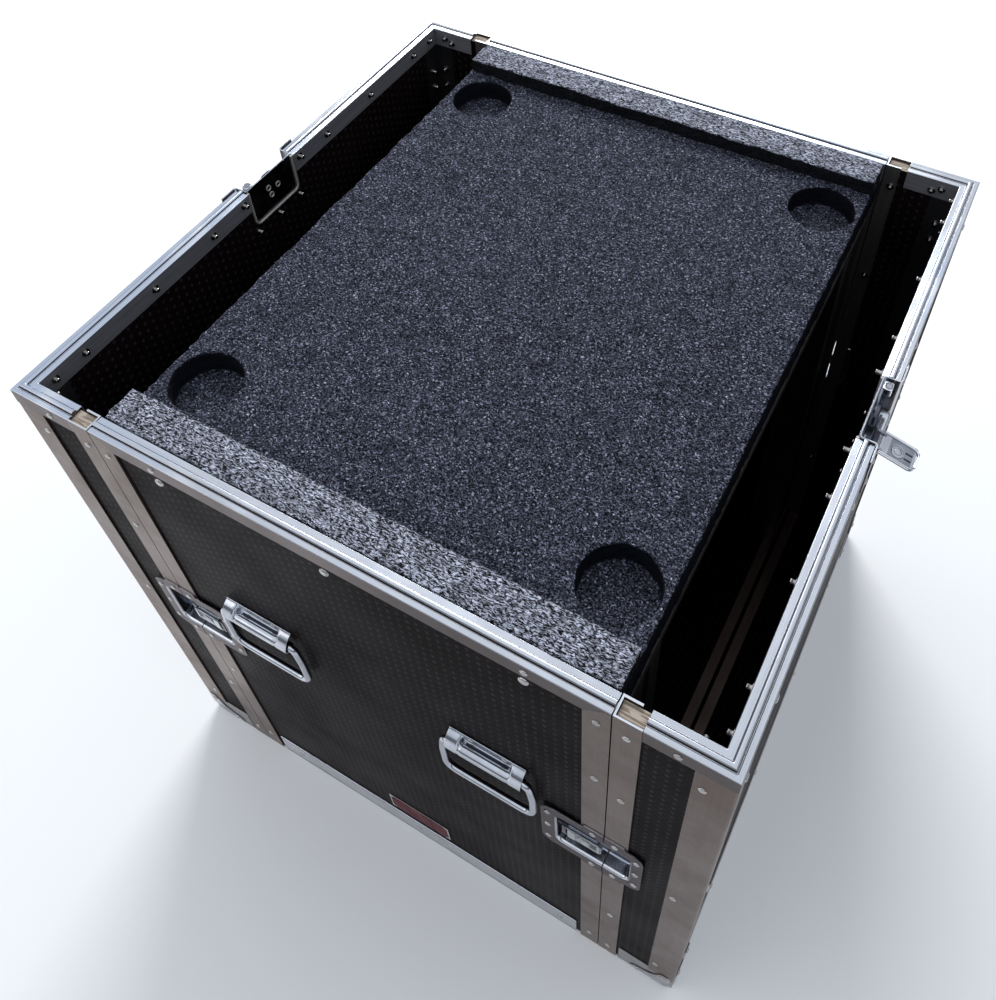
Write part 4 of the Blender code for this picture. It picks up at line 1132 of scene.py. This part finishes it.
# ---------------------------------------------------------------- label plate: bare enamel in a metal frame
refined("label_plate", "rivet", 0.0002)
lx0, lx1, lz0, lz1 = -0.0355, 0.0455, 0.0580, 0.0966
c = 0.0050
out = [(lx0 + 0.0022 + c, lz0 + 0.0022), (lx1 - 0.0022 - c, lz0 + 0.0022), (lx1 - 0.0022, lz0 + 0.0022 + c),
       (lx1 - 0.0022, lz1 - 0.0022 - c), (lx1 - 0.0022 - c, lz1 - 0.0022), (lx0 + 0.0022 + c, lz1 - 0.0022),
       (lx0 + 0.0022, lz1 - 0.0022 - c), (lx0 + 0.0022, lz0 + 0.0022 + c)]
me = prism("label_enamel", out, lambda a, b, q: Vector((a, -HALF_D + 0.0005 - q, b)), -0.0001, 0.00035)
edged(add("label_enamel", me, "case_body", "label", "label"), 0.0001, 1)
studs("label_pins", "case_body", "label", "rivet",
      [(Vector((a, -HALF_D + 0.0005, b)), (0, -1, 0), dome(0.0011, 0.0006))
       for a in (lx0 + 0.0032, lx1 - 0.0032) for b in (lz0 + 0.0032, lz1 - 0.0032)])

# ---------------------------------------------------------------- rivets
R = dome(0.0033, 0.0013)
for face, s in FACES:
    y = s * HALF_D
    n = (0, s, 0)
    body = [(-0.1709, 0.6745), (0.1709, 0.6745), (-0.2263, 0.6560), (0.2263, 0.6560), (-0.2263, 0.0370),
            (0.2263, 0.0370), (-0.1789, 0.0240), (-0.0018, 0.0240), (0.1891, 0.0240), (-0.2263, 0.2300),
            (0.2263, 0.5450)]
    items = [(Vector((a, y, b)), n, R) for a, b in body]
    items += [(Vector((a, s * (HALF_D - PLY_OUT), 0.6555)), n, dome(0.0046, 0.0021)) for a in (-0.1706, -0.0040, 0.1690)]
    studs(face + "_body_rivets", "case_body", "seam_aluminium", "rivet", items)
for side, sx in SIDES:
    items = []
    for face, s in FACES:
        for a, b in ((0.2850, 0.6745), (0.3050, 0.6400), (0.3045, 0.3550), (0.3040, 0.0800), (0.2490, 0.6570),
                     (0.2490, 0.5280), (0.2490, 0.1680), (0.2490, 0.0290)):
            items.append((Vector((sx * a, s * HALF_D, b)), (0, s, 0), R))
        for b in (0.6400, 0.3550, 0.0800):
            items.append((Vector((sx * HALF_W, s * (HALF_D - 0.0215), b)), (sx, 0, 0), R))
        for a in (0.0900, 0.2550):
            items.append((Vector((sx * HALF_W, s * a, 0.6745)), (sx, 0, 0), R))
        for a in (0.0700, 0.2100):
            items.append((Vector((sx * (HALF_W - 0.0002), s * a, 0.0240)), (sx, 0, 0), R))
    studs(side + "_cover_rivets", side + "_cover", "seam_aluminium", "rivet", items)
    # clenched ends inside
    items = []
    for face, s in FACES:
        xi, yi = HALF_W - 0.0165, HALF_D - 0.0165
        items += [(Vector((sx * 0.2960, s * yi, 0.6745)), (0, -s, 0), tail()),
                  (Vector((sx * 0.2870, s * yi, 0.6700)), (0, -s, 0), tail()),
                  (Vector((sx * xi, s * 0.2900, 0.6745)), (-sx, 0, 0), tail()),
                  (Vector((sx * xi, s * 0.2560, 0.6740)), (-sx, 0, 0), tail()),
                  (Vector((sx * xi, s * 0.0900, 0.6740)), (-sx, 0, 0), tail()),
                  (Vector((sx * xi, s * 0.1700, 0.6740)), (-sx, 0, 0), tail())]
        for z in (0.6285, 0.6060, 0.3550, 0.0800):
            items += [(Vector((sx * 0.3010, s * (HALF_D - 0.0159), z)), (0, -s, 0), tail()),
                      (Vector((sx * (HALF_W - 0.0159), s * 0.2930, z)), (-sx, 0, 0), tail())]
        for z in (0.6590, 0.5280, 0.1680):
            items.append((Vector((sx * 0.2475, s * yi, z)), (0, -s, 0), tail()))
    studs(side + "_cover_rivet_tails", side + "_cover", "seam_aluminium", "rivet", items)

# ---------------------------------------------------------------- foam
WALL_Y = HALF_D - 0.0165 - GAP


def foam_block(name, lo, hi, voxel, mat, layers, holes=(), soften=3):
    me = cube(lo, hi)
    ob = add(name, me, "case_body", mat, "foam", "foam_liner")
    tools = []
    for x, y, r, bottom in holes:
        pts = [(x + r * math.cos(2 * math.pi * k / 64), y + r * math.sin(2 * math.pi * k / 64)) for k in range(64)]
        tools.append(prism("h", pts, lambda a, b, c: Vector((a, b, c)), bottom, hi[2] + 0.01))
    boolean(ob, tools)
    m = ob.modifiers.new("v", "REMESH")
    m.mode, m.voxel_size = "VOXEL", voxel
    m = ob.modifiers.new("s", "SMOOTH")
    m.factor, m.iterations = 0.5, soften
    bake(ob)
    push(ob.data, layers)
    ob.data.shade_smooth()
    ob.data.materials.clear()
    ob.data.materials.append(M[mat])
    return ob


GRAIN = [((0.0034,) * 3, 3, 0.0014), ((0.0075,) * 3, 5, 0.0013), ((0.050,) * 3, 9, 0.0012)]
STRINGY = [((0.0080, 0.0034, 0.0034), 13, 0.0018), ((0.0170, 0.0070, 0.0070), 15, 0.0016), ((0.060,) * 3, 19, 0.0014)]
foam_block("foam_bed", (-0.2390, -WALL_Y, FOAM_TOP - FOAM_T + 0.0006), (0.2360, WALL_Y, FOAM_TOP), 0.0019, "foam", GRAIN,
           [(x, y, 0.0325, FOAM_TOP - 0.0250) for x in (-0.198, 0.198) for y in (-0.228, 0.228)], soften=1)
for face, s in FACES:
    y0, y1 = sorted((s * WALL_Y, s * (WALL_Y - FOAM_STRIP_W)))
    foam_block(face + "_foam_strip", (-0.2365, y0, FOAM_TOP - 0.0030), (0.2360, y1, STRIP_TOP), 0.0017, "foam_strip",
               STRINGY, soften=2)

# ---------------------------------------------------------------- camera
cam_data = bpy.data.cameras.new("camera")
cam = bpy.data.objects.new("camera", cam_data)
bpy.context.scene.collection.objects.link(cam)
bpy.context.scene.camera = cam
cam_data.sensor_width = 36.0
cam_data.lens = 36.72
cam_data.shift_x = -0.0526
cam_data.shift_y = -0.2227
cam_data.clip_start, cam_data.clip_end = 0.05, 50.0
right = Vector((0.87585, 0.48217, -0.01990))
up = Vector((-0.33657, 0.63988, 0.69085))
back = Vector((0.34584, -0.59838, 0.72273))
m = Matrix((right, up, back)).transposed().to_4x4()
m.translation = (0.3360, -0.5536, 1.3602)
cam.matrix_world = m

# ---------------------------------------------------------------- studio
scene = bpy.context.scene
scene.view_settings.view_transform = "Standard"
scene.view_settings.look = "None"
scene.view_settings.exposure = 0.0

w = bpy.data.worlds.new("studio")
scene.world = w
w.use_nodes = True
nt = w.node_tree
bg = nt.nodes["Background"]
tc = nt.nodes.new("ShaderNodeTexCoord")
sp = nt.nodes.new("ShaderNodeSeparateXYZ")
cr = nt.nodes.new("ShaderNodeValToRGB")
nt.links.new(tc.outputs["Generated"], sp.inputs[0])
mr = nt.nodes.new("ShaderNodeMapRange")
mr.inputs["From Min"].default_value, mr.inputs["From Max"].default_value = -1.0, 1.0
nt.links.new(sp.outputs[2], mr.inputs["Value"])
nt.links.new(mr.outputs["Result"], cr.inputs["Fac"])
e = cr.color_ramp.elements
e[0].position, e[0].color = 0.0, (0.20, 0.19, 0.18, 1)
e[1].position, e[1].color = 1.0, (1.05, 1.12, 1.22, 1)
for p, c in ((0.49, (0.24, 0.235, 0.23, 1)), (0.57, (0.17, 0.175, 0.19, 1)), (0.645, (0.32, 0.35, 0.40, 1)),
             (0.74, (0.80, 0.86, 0.95, 1)), (0.85, (0.98, 1.04, 1.14, 1))):
    k = e.new(p)
    k.color = c
nt.links.new(cr.outputs["Color"], bg.inputs["Color"])
lp = nt.nodes.new("ShaderNodeLightPath")
back = nt.nodes.new("ShaderNodeMix")
back.data_type = "RGBA"
back.inputs[7].default_value = (1.00, 1.02, 1.04, 1)
nt.links.new(lp.outputs["Is Camera Ray"], back.inputs[0])
nt.links.new(cr.outputs["Color"], back.inputs[6])
nt.links.new(back.outputs[2], bg.inputs["Color"])
bg.inputs["Strength"].default_value = 0.85


def area(name, at, to, size, power, colour=(1.0, 1.0, 1.0)):
    ld = bpy.data.lights.new(name, "AREA")
    ld.shape = "RECTANGLE"
    ld.size, ld.size_y = size
    ld.energy = power
    ld.color = colour
    ob = bpy.data.objects.new(name, ld)
    scene.collection.objects.link(ob)
    ob.location = at
    ob.rotation_euler = (Vector(to) - Vector(at)).to_track_quat("-Z", "Y").to_euler()
    return ob


area("key", (-0.95, 2.1, 2.5), (0, 0, 0.4), (1.4, 1.2), 72.0, (0.97, 0.98, 1.0))
area("fill", (-1.8, -1.6, 1.6), (0, 0, 0.3), (1.6, 1.6), 7.0, (1.0, 0.96, 0.92))

bm = bmesh.new()
bmesh.ops.create_grid(bm, x_segments=8, y_segments=8, size=6.0)
floor_me = bpy.data.meshes.new("floor")
bm.to_mesh(floor_me)
bm.free()
floor = bpy.data.objects.new("floor", floor_me)
scene.collection.objects.link(floor)
gf = Graph("pale_floor")
floor_me.materials.append(gf.finish(gf.mix(gf.noise(gf.co, 2.0), (0.84, 0.84, 0.83), (0.88, 0.88, 0.87)), 0.6))
